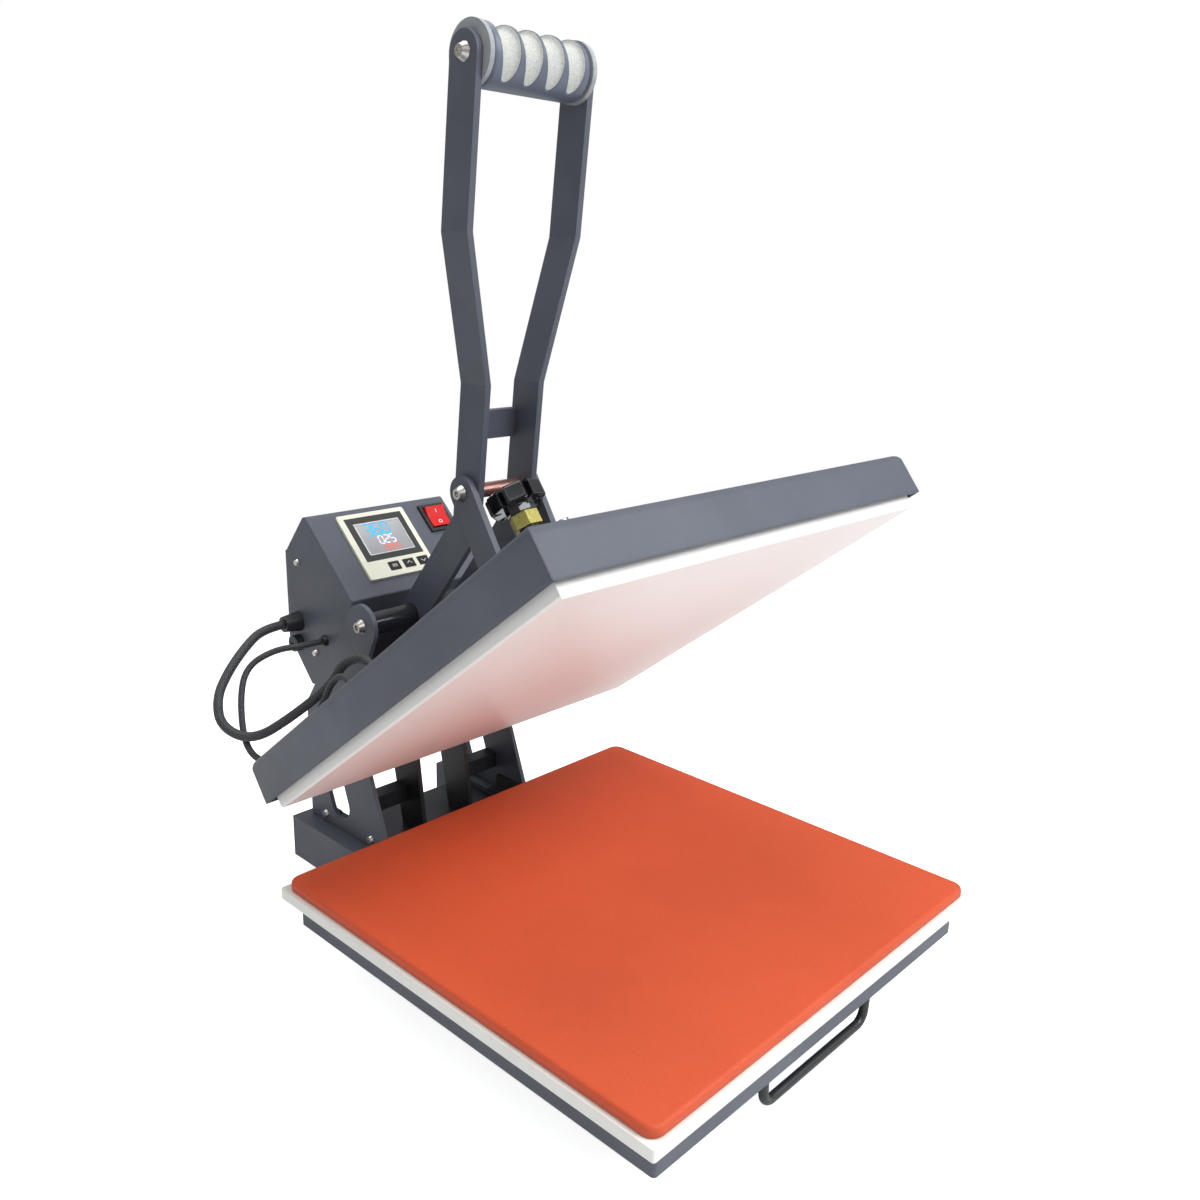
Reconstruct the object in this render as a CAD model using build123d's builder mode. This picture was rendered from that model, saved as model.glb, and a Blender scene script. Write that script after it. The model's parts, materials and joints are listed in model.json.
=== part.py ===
from build123d import *
from math import atan2, cos, degrees, hypot, pi, radians, sin, sqrt
import os

# Flat clamshell heat press with a pull-out lower bed, in millimetres.
# +Z is up, -Y is the front, the floor is Z = 0 and the origin is under the middle of the machine.

# Base frame
foot_height = 14.0
foot_radius = 17.0
rail_width = 30.0
rail_height = 40.0
rail_wall = 2.5
rail_centre_x = 84.0
rail_front_y = -225.0
rail_rear_y = 244.0
foot_inset = 60.0
cross_width = 30.0
cross_inset_front = 60.0
cross_inset_rear = 120.0

# Lower bed, which slides out to the front
bed_y = -83.5
pad_side = 380.0
pad_thickness = 8.4
pad_corner = 10.0
board_side = 387.0
board_thickness = 8.6
tray_width = 364.0
tray_depth = 367.0
tray_height = 24.0
tray_sheet = 2.0
tray_front_setback = 8.5
slide_space = 11.0
slide_length = 330.0
slide_outer_width = 22.0
slide_sheet = 1.5
slide_side_gap = 0.35
slide_floor_gap = 0.3
pull_width = 131.0
pull_drop = 24.0
pull_wire = 7.0
pull_bend = 10.0

# Stand
stand_outer_x = 83.0
stand_sheet = 4.0
stand_front_foot_y = 120.0
stand_lean = 20.4
stand_knee_z = 160.0
stand_neck_y = 142.0
stand_neck_z = 229.0
stand_rear_y = 238.0
stand_shoulder_z = 166.0
stand_top_radius = 19.0
slot_radius = 14.0
slot_low_y = 191.5
slot_low_z = 79.0
slot_rise = 23.0
cheek_inner_x = 25.0
cheek_sheet = 4.0
cheek_foot_front = 140.0
cheek_foot_rear = 172.0
cheek_top_front = 150.0
cheek_top_rise = 10.0
cheek_waist_y = 183.0
cheek_lug = 13.0
cheek_bar_y = 172.0
cheek_bar_z = 82.0
cheek_bar_size = 15.0

# Linkage pivots: arm on the cheeks, handle on the stand, link between handle and arm
arm_pivot_y = 193.5
arm_pivot_z = 114.0
arm_open_angle = 38.0
handle_pivot_y = 150.0
handle_pivot_z = 257.0
link_pivot_y = 75.5
link_pivot_z = 375.0
link_length = 88.0
link_lean = 32.5
link_width = 27.0
link_sheet = 5.5
running_gap = 0.05
side_gap = 0.3

# Upper platen
close_gap = 0.4
platen_side = 380.0
platen_thickness = 18.0
platen_drop = 8.2
platen_bevel = 1.5
cover_side = 394.0
cover_height = 35.0
cover_sheet = 1.5
cover_bend = 7.0
blanket_gap = 0.3
element_wire = 6.5
element_pitch = 44.0
element_runs = 6
stud_pitch_x = 88.0
stud_pitch_y = 120.0
stud_radius = 4.0
pressure_travel = 3.0

# Arm beam over the platen
beam_width = 47.0
beam_sheet = 4.0
beam_low = 30.0
beam_high = 66.0
beam_front = 320.0
hub_radius = 16.0
arm_shaft_radius = 8.0
screw_back = 269.0
screw_radius = 8.0
knob_radius = 23.5
knob_lobes = 7
knob_head = 15.0
knob_above_cover = 93.0
neck_radius = 12.5
neck_height = 7.0
nut_flats = 22.0
nut_height = 12.0
nut_above_cover = 74.0
guide_radius = 5.0
guide_top = 75.0

# Handle
bar_width = 29.0
bar_sheet = 5.5
bar_inner_x = 25.0
bar_knee_z = 460.0
bar_shoulder_z = 570.0
bar_top_inner_x = 51.5
bar_bend_below = 27.0
grip_y = 44.0
grip_z = 686.0
grip_radius = 21.5
grip_wall = 5.0
brace_z = 426.3
brace_height = 23.0
handle_tube_radius = 10.0
handle_hub_radius = 13.5
link_tube_radius = 6.0
bolt_radius = 4.0
bolt_head_radius = 7.0
bolt_head_height = 4.4

# Control box
box_half_x = 75.0
box_sheet = 1.5
panel_top_y = 242.0
panel_top_z = 335.0
panel_foot_y = 173.0
panel_foot_z = 272.0
box_back_y = 273.0
box_back_top_z = 298.0
box_back_low_z = 215.0
box_floor_y = 241.0
box_floor_z = 180.0
box_front_y = 204.0
bezel_x = -12.0
bezel_down = 43.5
bezel_side = 70.0
bezel_thickness = 2.5
display_x = -11.0
display_down = 37.0
display_width = 48.0
display_height = 34.0
button_down = 68.5
button_pitch = 15.8
button_first_x = -17.8
button_width = 11.0
button_height = 8.4
button_travel = 1.0
switch_x = 55.5
switch_down = 25.5
switch_width = 28.0
switch_height = 30.0
rocker_width = 21.0
rocker_height = 22.0

# Leads from the control box to the heater
heater_lead_diameter = 8.0
sensor_lead_diameter = 5.5
heater_port_y = 258.0
heater_port_z = 235.0
heater_port_radius = 9.0
sensor_port_y = 216.0
sensor_port_z = 227.0
sensor_port_radius = 5.0
gland_reach = 16.0
sensor_gland_reach = 4.0
grommet_rise = 16.0
grommet_radius = 8.0
heater_grommet = (-96.0, -136.0)
sensor_grommet = (-118.0, -130.0)
fuse_y = 258.0
fuse_z = 215.0

os.makedirs("parts", exist_ok=True)


def save(part, name):
    part.label = name
    export_step(part, "parts/" + name + ".step")


def strip(start, end, width):
    """A flat bar outline with round ends from start to end."""
    run = hypot(end[0] - start[0], end[1] - start[1])
    middle = ((start[0] + end[0]) / 2, (start[1] + end[1]) / 2)
    turn = degrees(atan2(end[1] - start[1], end[0] - start[0]))
    with Locations(middle):
        SlotCenterToCenter(run, width, rotation=turn)


def side_plane(x):
    return Plane.YZ.offset(x)


def button_head(x, y, z, facing, shank, reach):
    """A socket button-head screw seated at x, with its shank running inwards."""
    turn = (0, 90 * facing, 0)
    seat = (Align.CENTER, Align.CENTER, Align.MIN)
    with Locations((x, y, z)):
        Cone(bolt_head_radius, bolt_head_radius * 0.6, bolt_head_height, rotation=turn, align=seat)
        Cylinder(shank, reach, rotation=(0, -90 * facing, 0), align=seat)
    with Locations((x + facing * bolt_head_height, y, z)):
        Cylinder(bolt_radius * 0.6, bolt_head_height, rotation=turn, mode=Mode.SUBTRACT)


# Base frame
rail_low = foot_height
rail_top = rail_low + rail_height
rail_mid_y = (rail_front_y + rail_rear_y) / 2
rail_length = rail_rear_y - rail_front_y

with BuildPart() as base_rails:
    with Locations((-rail_centre_x, rail_mid_y, rail_low), (rail_centre_x, rail_mid_y, rail_low)):
        Box(rail_width, rail_length, rail_height, align=(Align.CENTER, Align.CENTER, Align.MIN))
        with Locations((0, 0, rail_wall)):
            Box(rail_width - 2 * rail_wall, rail_length, rail_height - 2 * rail_wall,
                align=(Align.CENTER, Align.CENTER, Align.MIN), mode=Mode.SUBTRACT)
save(base_rails.part, "base_rails")

cap_sheet = 2.0
cap_plug = 10.0
with BuildPart() as rail_caps:
    for x in (-rail_centre_x, rail_centre_x):
        for y, out in ((rail_front_y, -1), (rail_rear_y, 1)):
            with Locations((x, y + out * cap_sheet / 2, rail_low + rail_height / 2)):
                Box(rail_width, cap_sheet, rail_height)
            with Locations((x, y - out * cap_plug / 2, rail_low + rail_height / 2)):
                Box(rail_width - 2 * rail_wall, cap_plug, rail_height - 2 * rail_wall)
save(rail_caps.part, "rail_caps")

cross_length = 2 * rail_centre_x - rail_width
with BuildPart() as cross_members:
    for y in (rail_front_y + cross_inset_front, rail_rear_y - cross_inset_rear):
        with Locations((0, y, rail_low)):
            Box(cross_length, cross_width, rail_height, align=(Align.CENTER, Align.CENTER, Align.MIN))
            with Locations((0, 0, rail_wall)):
                Box(cross_length, cross_width - 2 * rail_wall, rail_height - 2 * rail_wall,
                    align=(Align.CENTER, Align.CENTER, Align.MIN), mode=Mode.SUBTRACT)
save(cross_members.part, "cross_members")

foot_spots = [
    (x, y)
    for x in (-rail_centre_x, rail_centre_x)
    for y in (rail_front_y + foot_inset, rail_rear_y - foot_inset)
]
foot_recess = 5.0
foot_screw_head = 6.0
foot_screw_radius = 2.5
with BuildPart() as rubber_feet:
    with BuildSketch():
        with Locations(*foot_spots):
            Circle(foot_radius)
    extrude(amount=foot_height, taper=4)
    with BuildSketch():
        with Locations(*foot_spots):
            Circle(foot_screw_head + 1.5)
    extrude(amount=foot_recess, mode=Mode.SUBTRACT)
    with BuildSketch():
        with Locations(*foot_spots):
            Circle(foot_screw_radius + running_gap)
    extrude(amount=foot_height, mode=Mode.SUBTRACT)
save(rubber_feet.part, "rubber_feet")

# Stand plates, cheeks and bars
lean_run = sin(radians(stand_lean)) / cos(radians(stand_lean))
knee_y = stand_front_foot_y + (stand_knee_z - rail_top) * lean_run


def stand_outline():
    shoulder = (stand_rear_y, stand_shoulder_z)
    away = (handle_pivot_y - shoulder[0], handle_pivot_z - shoulder[1])
    reach = hypot(*away)
    turn = atan2(away[1], away[0])
    # The rear edge meets the round top as a tangent
    half = atan2(stand_top_radius, sqrt(reach**2 - stand_top_radius**2))
    edge = sqrt(reach**2 - stand_top_radius**2)
    top = (shoulder[0] + edge * cos(turn - half), shoulder[1] + edge * sin(turn - half))
    Polygon(
        (stand_front_foot_y, rail_top),
        (knee_y, stand_knee_z),
        (stand_neck_y, stand_neck_z),
        (handle_pivot_y - stand_top_radius * 0.8, handle_pivot_z - stand_top_radius * 0.6),
        (handle_pivot_y, handle_pivot_z),
        top,
        shoulder,
        (stand_rear_y, rail_top),
        align=None,
    )
    with Locations((handle_pivot_y, handle_pivot_z)):
        Circle(stand_top_radius)


slot_high_y = slot_low_y + slot_rise * lean_run
slot_high_z = slot_low_z + slot_rise
stand_inner_x = stand_outer_x - stand_sheet
with BuildPart() as stand_plates:
    for x in (-stand_outer_x, stand_inner_x):
        with BuildSketch(side_plane(x)):
            stand_outline()
            with Locations((handle_pivot_y, handle_pivot_z)):
                Circle(bolt_radius + running_gap, mode=Mode.SUBTRACT)
            with BuildSketch(mode=Mode.SUBTRACT):
                strip((slot_low_y, slot_low_z), (slot_high_y, slot_high_z), 2 * slot_radius)
        extrude(amount=stand_sheet)
save(stand_plates.part, "stand_plates")

foot_angle_side = 14.0
with BuildPart() as stand_brackets:
    for side in (-1, 1):
        for y in (146.0, 215.0):
            with Locations((side * (stand_inner_x - foot_angle_side / 2), y, rail_top + 1.5)):
                Box(foot_angle_side, 30, 3)
            with Locations((side * (stand_inner_x - 1.5), y, rail_top + foot_angle_side / 2)):
                Box(3, 30, foot_angle_side)
save(stand_brackets.part, "stand_brackets")

cheek_outer_x = cheek_inner_x + cheek_sheet
cheek_foot_z = rail_top - 6
with BuildPart() as pivot_cheeks:
    for x in (-cheek_outer_x, cheek_inner_x):
        with BuildSketch(side_plane(x)):
            Polygon(
                (cheek_foot_front, cheek_foot_z),
                (cheek_top_front, arm_pivot_z + cheek_top_rise),
                (arm_pivot_y - cheek_lug / 3, arm_pivot_z + cheek_lug),
                (arm_pivot_y + cheek_lug, arm_pivot_z),
                (cheek_waist_y, arm_pivot_z - cheek_lug),
                (cheek_foot_rear, cheek_foot_z),
                align=None,
            )
            with Locations((arm_pivot_y, arm_pivot_z)):
                Circle(cheek_lug)
                Circle(arm_shaft_radius, mode=Mode.SUBTRACT)
        extrude(amount=cheek_sheet)
save(pivot_cheeks.part, "pivot_cheeks")

# The cheeks stand on a plate between the rails
cheek_plate_sheet = 6.0
cheek_plate_length = 72.0
cross_rear_face = rail_rear_y - cross_inset_rear + cross_width / 2
cheek_bar_length = stand_inner_x - cheek_outer_x
with BuildPart() as cheek_supports:
    with Locations((0, cross_rear_face, cheek_foot_z)):
        Box(cross_length, cheek_plate_length, cheek_plate_sheet,
            align=(Align.CENTER, Align.MIN, Align.MAX))
    for side in (-1, 1):
        with Locations((side * (cheek_outer_x + cheek_bar_length / 2), cheek_bar_y, cheek_bar_z)):
            Box(cheek_bar_length, cheek_bar_size, cheek_bar_size)
save(cheek_supports.part, "cheek_supports")

shaft_overhang = 4.0
collar_width = 3.0
with BuildPart() as arm_shaft:
    with BuildSketch(side_plane(-cheek_outer_x - shaft_overhang)):
        with Locations((arm_pivot_y, arm_pivot_z)):
            Circle(arm_shaft_radius)
    extrude(amount=2 * (cheek_outer_x + shaft_overhang))
    chamfer(arm_shaft.edges().filter_by(GeomType.CIRCLE), 0.8)
    for x in (-cheek_outer_x - collar_width, cheek_outer_x):
        with BuildSketch(side_plane(x)):
            with Locations((arm_pivot_y, arm_pivot_z)):
                Circle(arm_shaft_radius + 4)
        extrude(amount=collar_width)
save(arm_shaft.part, "arm_shaft")

bolt_depth = 24.0
with BuildPart() as handle_shaft:
    with BuildSketch(side_plane(-stand_inner_x)):
        with Locations((handle_pivot_y, handle_pivot_z)):
            Circle(handle_tube_radius)
    extrude(amount=2 * stand_inner_x)
    for x, way in ((-stand_inner_x, 1), (stand_inner_x, -1)):
        with BuildSketch(side_plane(x)):
            with Locations((handle_pivot_y, handle_pivot_z)):
                Circle(bolt_radius + running_gap)
        extrude(amount=way * bolt_depth, mode=Mode.SUBTRACT)
save(handle_shaft.part, "handle_shaft")

with BuildPart() as handle_shaft_screws:
    for side in (-1, 1):
        button_head(side * stand_outer_x, handle_pivot_y, handle_pivot_z, side, bolt_radius, 20)
save(handle_shaft_screws.part, "handle_shaft_screws")

# Lower bed
tray_top = rail_top + slide_space + tray_sheet
board_top = tray_top + board_thickness
pad_top = board_top + pad_thickness
tray_front = bed_y - board_side / 2 + tray_front_setback
tray_mid_y = tray_front + tray_depth / 2
with BuildPart() as drawer_tray:
    with Locations((0, tray_mid_y, tray_top)):
        Box(tray_width, tray_depth, tray_height, align=(Align.CENTER, Align.CENTER, Align.MAX))
    fillet(drawer_tray.edges().filter_by(Axis.Z).group_by(Axis.Y)[0], 3)
    with Locations((0, tray_mid_y + tray_sheet, tray_top - tray_sheet)):
        Box(tray_width - 2 * tray_sheet, tray_depth, tray_height,
            align=(Align.CENTER, Align.CENTER, Align.MAX), mode=Mode.SUBTRACT)
save(drawer_tray.part, "drawer_tray")

with BuildPart() as lower_board:
    with Locations((0, bed_y, tray_top)):
        Box(board_side, board_side, board_thickness, align=(Align.CENTER, Align.CENTER, Align.MIN))
    fillet(lower_board.edges().filter_by(Axis.Z), 2)
save(lower_board.part, "lower_board")

with BuildPart() as silicone_pad:
    with BuildSketch(Plane.XY.offset(board_top)):
        with Locations((0, bed_y)):
            RectangleRounded(pad_side, pad_side, pad_corner)
    extrude(amount=pad_thickness)
    fillet(silicone_pad.edges().group_by(Axis.Z)[-1], 1.5)
save(silicone_pad.part, "silicone_pad")

pull_y = tray_front + pull_wire / 2 + 3
pull_low = tray_top - tray_height - pull_drop
with BuildPart() as pull_handle:
    with BuildLine() as pull_path:
        FilletPolyline(
            (-pull_width / 2, pull_y, tray_top - tray_sheet),
            (-pull_width / 2 + 3, pull_y, pull_low),
            (pull_width / 2 - 3, pull_y, pull_low),
            (pull_width / 2, pull_y, tray_top - tray_sheet),
            radius=pull_bend,
        )
    with BuildSketch(Plane(origin=pull_path.line @ 0, z_dir=pull_path.line % 0)):
        Circle(pull_wire / 2)
    sweep(path=pull_path.line)
    with Locations((0, pull_y, tray_top - tray_sheet)):
        Box(pull_width + 20, 20, 10, align=(Align.CENTER, Align.CENTER, Align.MIN), mode=Mode.SUBTRACT)
save(pull_handle.part, "pull_handle")

slide_mid_y = rail_mid_y - 74
with BuildPart() as fixed_slides:
    for x in (-rail_centre_x, rail_centre_x):
        with Locations((x, slide_mid_y, rail_top)):
            Box(slide_outer_width, slide_length, slide_space - 2.5,
                align=(Align.CENTER, Align.CENTER, Align.MIN))
            with Locations((0, 0, slide_sheet)):
                Box(slide_outer_width - 2 * slide_sheet, slide_length, slide_space,
                    align=(Align.CENTER, Align.CENTER, Align.MIN), mode=Mode.SUBTRACT)
save(fixed_slides.part, "fixed_slides")

runner_width = slide_outer_width - 2 * slide_sheet - 2 * slide_side_gap
runner_height = slide_space - slide_sheet - slide_floor_gap
with BuildPart() as moving_slides:
    for x in (-rail_centre_x, rail_centre_x):
        with Locations((x, slide_mid_y, tray_top - tray_sheet)):
            Box(runner_width, slide_length, runner_height, align=(Align.CENTER, Align.CENTER, Align.MAX))
            with Locations((0, 0, -2 * slide_sheet)):
                Box(runner_width - 4 * slide_sheet, slide_length, runner_height,
                    align=(Align.CENTER, Align.CENTER, Align.MAX), mode=Mode.SUBTRACT)
save(moving_slides.part, "moving_slides")

# Upper head: drawn shut and flat, then tipped back about the arm pivot
tip = radians(arm_open_angle)
head = Plane(origin=(0, arm_pivot_y, arm_pivot_z), x_dir=(1, 0, 0), z_dir=(0, sin(tip), cos(tip)))
head_up = Axis(origin=(0, 0, 0), direction=(0, sin(tip), cos(tip)))


def head_side(x):
    """A plane across the head: its axes run to the back and up, and it faces +X."""
    return Plane(origin=head.from_local_coords((x, 0, 0)), x_dir=head.y_dir, z_dir=(1, 0, 0))


platen_mid = bed_y - arm_pivot_y
platen_low = pad_top + close_gap - arm_pivot_z
platen_high = platen_low + platen_thickness
cover_low = platen_low + platen_drop
cover_high = cover_low + cover_height
screw_y = -screw_back

grommets = (
    (heater_grommet, heater_lead_diameter / 2),
    (sensor_grommet, sensor_lead_diameter / 2),
)
with BuildPart(head) as platen_cover:
    with Locations((0, platen_mid, cover_low)):
        Box(cover_side, cover_side, cover_height, align=(Align.CENTER, Align.CENTER, Align.MIN))
    fillet(platen_cover.faces().sort_by(head_up)[-1].edges(), cover_bend)
    offset(amount=-cover_sheet, openings=platen_cover.faces().sort_by(head_up)[0])
    with Locations((0, platen_mid, cover_high)):
        with GridLocations(stud_pitch_x, stud_pitch_y, 2, 2):
            Cylinder(stud_radius + running_gap, 4 * cover_sheet, mode=Mode.SUBTRACT)
    for (x, y), radius in grommets:
        with Locations((x, y, cover_high)):
            Cylinder(radius, 4 * cover_sheet, mode=Mode.SUBTRACT)
save(platen_cover.part, "platen_cover")

with BuildPart(head) as heat_platen:
    with Locations((0, platen_mid, platen_low)):
        Box(platen_side, platen_side, platen_thickness, align=(Align.CENTER, Align.CENTER, Align.MIN))
    chamfer(heat_platen.faces().sort_by(head_up)[0].edges(), platen_bevel)
    with Locations((0, platen_mid, platen_high)):
        with GridLocations(stud_pitch_x, stud_pitch_y, 2, 2):
            Cylinder(stud_radius + running_gap, 2 * stud_radius, mode=Mode.SUBTRACT)
save(heat_platen.part, "heat_platen")

# A bent tube heater lies on the platen under the insulation
element_z = platen_high + element_wire / 2 + running_gap
element_half = platen_side / 2 - 35
element_points = []
for run in range(element_runs):
    run_x = (run - (element_runs - 1) / 2) * element_pitch
    ends = (platen_mid + element_half, platen_mid - element_half)
    for end_y in ends if run % 2 == 0 else ends[::-1]:
        element_points.append(head.from_local_coords((run_x, end_y, element_z)))
with BuildPart() as heating_element:
    with BuildLine() as element_path:
        FilletPolyline(*element_points, radius=element_pitch / 2 - 1)
    with BuildSketch(Plane(origin=element_path.line @ 0, z_dir=element_path.line % 0)):
        Circle(element_wire / 2)
    sweep(path=element_path.line)
save(heating_element.part, "heating_element")

blanket_low = element_z + element_wire / 2 + running_gap
blanket_high = cover_high - cover_sheet - blanket_gap
blanket_side = cover_side - 2 * cover_sheet - 2 * cover_bend
with BuildPart(head) as insulation_blanket:
    with Locations((0, platen_mid, blanket_low)):
        Box(blanket_side, blanket_side, blanket_high - blanket_low,
            align=(Align.CENTER, Align.CENTER, Align.MIN))
        with GridLocations(stud_pitch_x, stud_pitch_y, 2, 2):
            Cylinder(stud_radius + side_gap, 4 * cover_height, mode=Mode.SUBTRACT)
save(insulation_blanket.part, "insulation_blanket")

stud_nut = 6.5
stud_tip = 3.0
with BuildPart(head) as platen_studs:
    with Locations((0, platen_mid, platen_high - stud_radius)):
        with GridLocations(stud_pitch_x, stud_pitch_y, 2, 2):
            Cylinder(stud_radius, cover_high - platen_high + stud_radius + stud_nut + stud_tip,
                     align=(Align.CENTER, Align.CENTER, Align.MIN))
    with BuildSketch(head.offset(cover_high)):
        with Locations((0, platen_mid)):
            with GridLocations(stud_pitch_x, stud_pitch_y, 2, 2):
                RegularPolygon(stud_radius * 1.85, 6)
    extrude(amount=stud_nut)
save(platen_studs.part, "platen_studs")

with BuildPart(head) as lead_grommets:
    for (x, y), radius in grommets:
        with Locations((x, y, cover_high)):
            Cone(radius + 4.0, radius + 2.0, grommet_rise, align=(Align.CENTER, Align.CENTER, Align.MIN))
            Cylinder(radius, 4 * grommet_rise, mode=Mode.SUBTRACT)
save(lead_grommets.part, "lead_grommets")

# Arm beam
beam_inner = beam_width / 2 - beam_sheet
link_end_y = link_pivot_y - link_length * sin(radians(link_lean))
link_end_z = link_pivot_z - link_length * cos(radians(link_lean))
link_end = head.to_local_coords(Vector(0, link_end_y, link_end_z))
boss_radius = 12.0
boss_reach = 4.0
web_low = beam_high - beam_sheet
guide_spots = ((0, -190.0), (0, 14.0 - beam_front))
bush_radius = 8.0
beam_shoulder = 60.0
beam_heel = 74.0
with BuildPart() as arm_beam:
    with BuildSketch(head_side(-beam_width / 2)):
        Polygon(
            (-beam_front, beam_low),
            (-beam_heel, beam_low),
            (-hub_radius * 0.5, -hub_radius * 0.86),
            (0, 0),
            (hub_radius * 0.5, hub_radius * 0.86),
            (-beam_shoulder, beam_high),
            (-beam_front, beam_high),
            align=None,
        )
        Circle(hub_radius)
    extrude(amount=beam_width)
    with BuildSketch(head_side(-beam_inner)):
        with Locations((-beam_front / 2 + 2 * hub_radius, 0)):
            Rectangle(beam_front - 2 * beam_sheet + 4 * hub_radius, 2 * web_low)
    extrude(amount=2 * beam_inner, mode=Mode.SUBTRACT)
    with BuildSketch(head_side(-beam_width / 2)):
        Circle(hub_radius - beam_sheet + running_gap)
    extrude(amount=beam_width, mode=Mode.SUBTRACT)
    for x in (-beam_width / 2 - boss_reach, beam_width / 2):
        with BuildSketch(head_side(x)):
            with Locations((link_end.Y, link_end.Z)):
                Circle(boss_radius)
        extrude(amount=boss_reach)
    with BuildSketch(head.offset(web_low)):
        with Locations((0, screw_y)):
            Circle(screw_radius + side_gap)
        with Locations(*guide_spots):
            Circle(bush_radius)
    extrude(amount=2 * beam_sheet, mode=Mode.SUBTRACT)
save(arm_beam.part, "arm_beam")

with BuildPart() as arm_hub:
    with BuildSketch(head_side(side_gap - cheek_inner_x)):
        Circle(hub_radius - beam_sheet)
        Circle(arm_shaft_radius + running_gap, mode=Mode.SUBTRACT)
    extrude(amount=2 * (cheek_inner_x - side_gap))
save(arm_hub.part, "arm_hub")

block_length = 44.0
with BuildPart(head) as screw_block:
    with Locations((0, screw_y, beam_low)):
        Box(2 * beam_inner, block_length, web_low - beam_low, align=(Align.CENTER, Align.CENTER, Align.MIN))
        Cylinder(screw_radius + running_gap, 4 * web_low, mode=Mode.SUBTRACT)
save(screw_block.part, "screw_block")

bush_length = 10.0
bush_flange = 2.0
with BuildPart(head) as guide_bushes:
    for x, y in guide_spots:
        with Locations((x, y, beam_high)):
            Cylinder(bush_radius, bush_length, align=(Align.CENTER, Align.CENTER, Align.MAX))
            Cylinder(bush_radius + 2, bush_flange, align=(Align.CENTER, Align.CENTER, Align.MIN))
            Cylinder(guide_radius + running_gap, 4 * bush_length, mode=Mode.SUBTRACT)
save(guide_bushes.part, "guide_bushes")

guide_foot = 3.0
with BuildPart(head) as guide_pins:
    for x, y in guide_spots:
        with Locations((x, y, cover_high)):
            Cylinder(guide_radius, guide_top - cover_high, align=(Align.CENTER, Align.CENTER, Align.MIN))
            Cylinder(guide_radius + 4, guide_foot, align=(Align.CENTER, Align.CENTER, Align.MIN))
save(guide_pins.part, "guide_pins")

# Pressure screw, its knob and the block it drives on the cover
thrust_sheet = 4.0
thrust_collar = 14.0
thrust_width = 52.0
spindle_low = cover_high + thrust_sheet + side_gap
knob_low = cover_high + knob_above_cover
with BuildPart(head) as thrust_block:
    with Locations((0, screw_y, cover_high)):
        Box(thrust_width, block_length, thrust_sheet, align=(Align.CENTER, Align.CENTER, Align.MIN))
        Cylinder(thrust_collar, beam_low - cover_high - pressure_travel - side_gap,
                 align=(Align.CENTER, Align.CENTER, Align.MIN))
    with Locations((0, screw_y, cover_high + thrust_sheet)):
        Cylinder(screw_radius + running_gap, cover_height,
                 align=(Align.CENTER, Align.CENTER, Align.MIN), mode=Mode.SUBTRACT)
save(thrust_block.part, "thrust_block")

with BuildPart(head) as pressure_screw:
    with Locations((0, screw_y, spindle_low)):
        Cylinder(screw_radius, knob_low + knob_head / 2 - spindle_low,
                 align=(Align.CENTER, Align.CENTER, Align.MIN))
save(pressure_screw.part, "pressure_screw")

lobe_radius = 7.0
with BuildPart() as pressure_knob:
    with BuildSketch(head.offset(knob_low)):
        with Locations((0, screw_y)):
            Circle(knob_radius - lobe_radius + 1)
            with PolarLocations(knob_radius - lobe_radius, knob_lobes):
                Circle(lobe_radius)
    extrude(amount=knob_head)
    chamfer(pressure_knob.edges().filter_by(GeomType.CIRCLE), 1.2)
    with BuildSketch(head.offset(knob_low - neck_height)):
        with Locations((0, screw_y)):
            RegularPolygon(neck_radius, 8)
    extrude(amount=neck_height)
    with BuildSketch(head.offset(knob_low - neck_height)):
        with Locations((0, screw_y)):
            Circle(screw_radius + running_gap)
    extrude(amount=neck_height + knob_head / 2 + running_gap, mode=Mode.SUBTRACT)
save(pressure_knob.part, "pressure_knob")

with BuildPart() as jam_nut:
    with BuildSketch(head.offset(cover_high + nut_above_cover)):
        with Locations((0, screw_y)):
            RegularPolygon(nut_flats / 2, 6, major_radius=False)
            Circle(screw_radius + running_gap, mode=Mode.SUBTRACT)
    extrude(amount=nut_height)
save(jam_nut.part, "jam_nut")

# Handle
straight_run = (grip_y - link_pivot_y) / (grip_z - link_pivot_z)
bend_z = link_pivot_z - bar_bend_below
bend_y = link_pivot_y - bar_bend_below * straight_run
bar_outer_x = bar_inner_x + bar_sheet
bar_top_outer_x = bar_top_inner_x + bar_sheet
with BuildPart() as handle_bars:
    with BuildSketch(side_plane(0)):
        strip((handle_pivot_y, handle_pivot_z), (bend_y, bend_z), bar_width)
        strip((bend_y, bend_z), (grip_y, grip_z), bar_width)
    extrude(amount=2 * bar_top_outer_x)
    with BuildSketch(Plane.XZ):
        Polygon(
            (bar_inner_x, 0),
            (bar_inner_x, bar_knee_z),
            (bar_top_inner_x, bar_shoulder_z),
            (bar_top_inner_x, 2 * grip_z),
            (bar_top_outer_x, 2 * grip_z),
            (bar_top_outer_x, bar_shoulder_z),
            (bar_outer_x, bar_knee_z),
            (bar_outer_x, 0),
            align=None,
        )
    extrude(amount=2 * handle_pivot_y, both=True, mode=Mode.INTERSECT)
    with BuildSketch(side_plane(0)):
        with Locations((handle_pivot_y, handle_pivot_z)):
            Circle(handle_tube_radius + running_gap)
        with Locations((link_pivot_y, link_pivot_z), (grip_y, grip_z)):
            Circle(bolt_radius + running_gap)
    extrude(amount=2 * bar_top_outer_x, mode=Mode.SUBTRACT)
    mirror(about=Plane.YZ)
save(handle_bars.part, "handle_bars")

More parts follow.
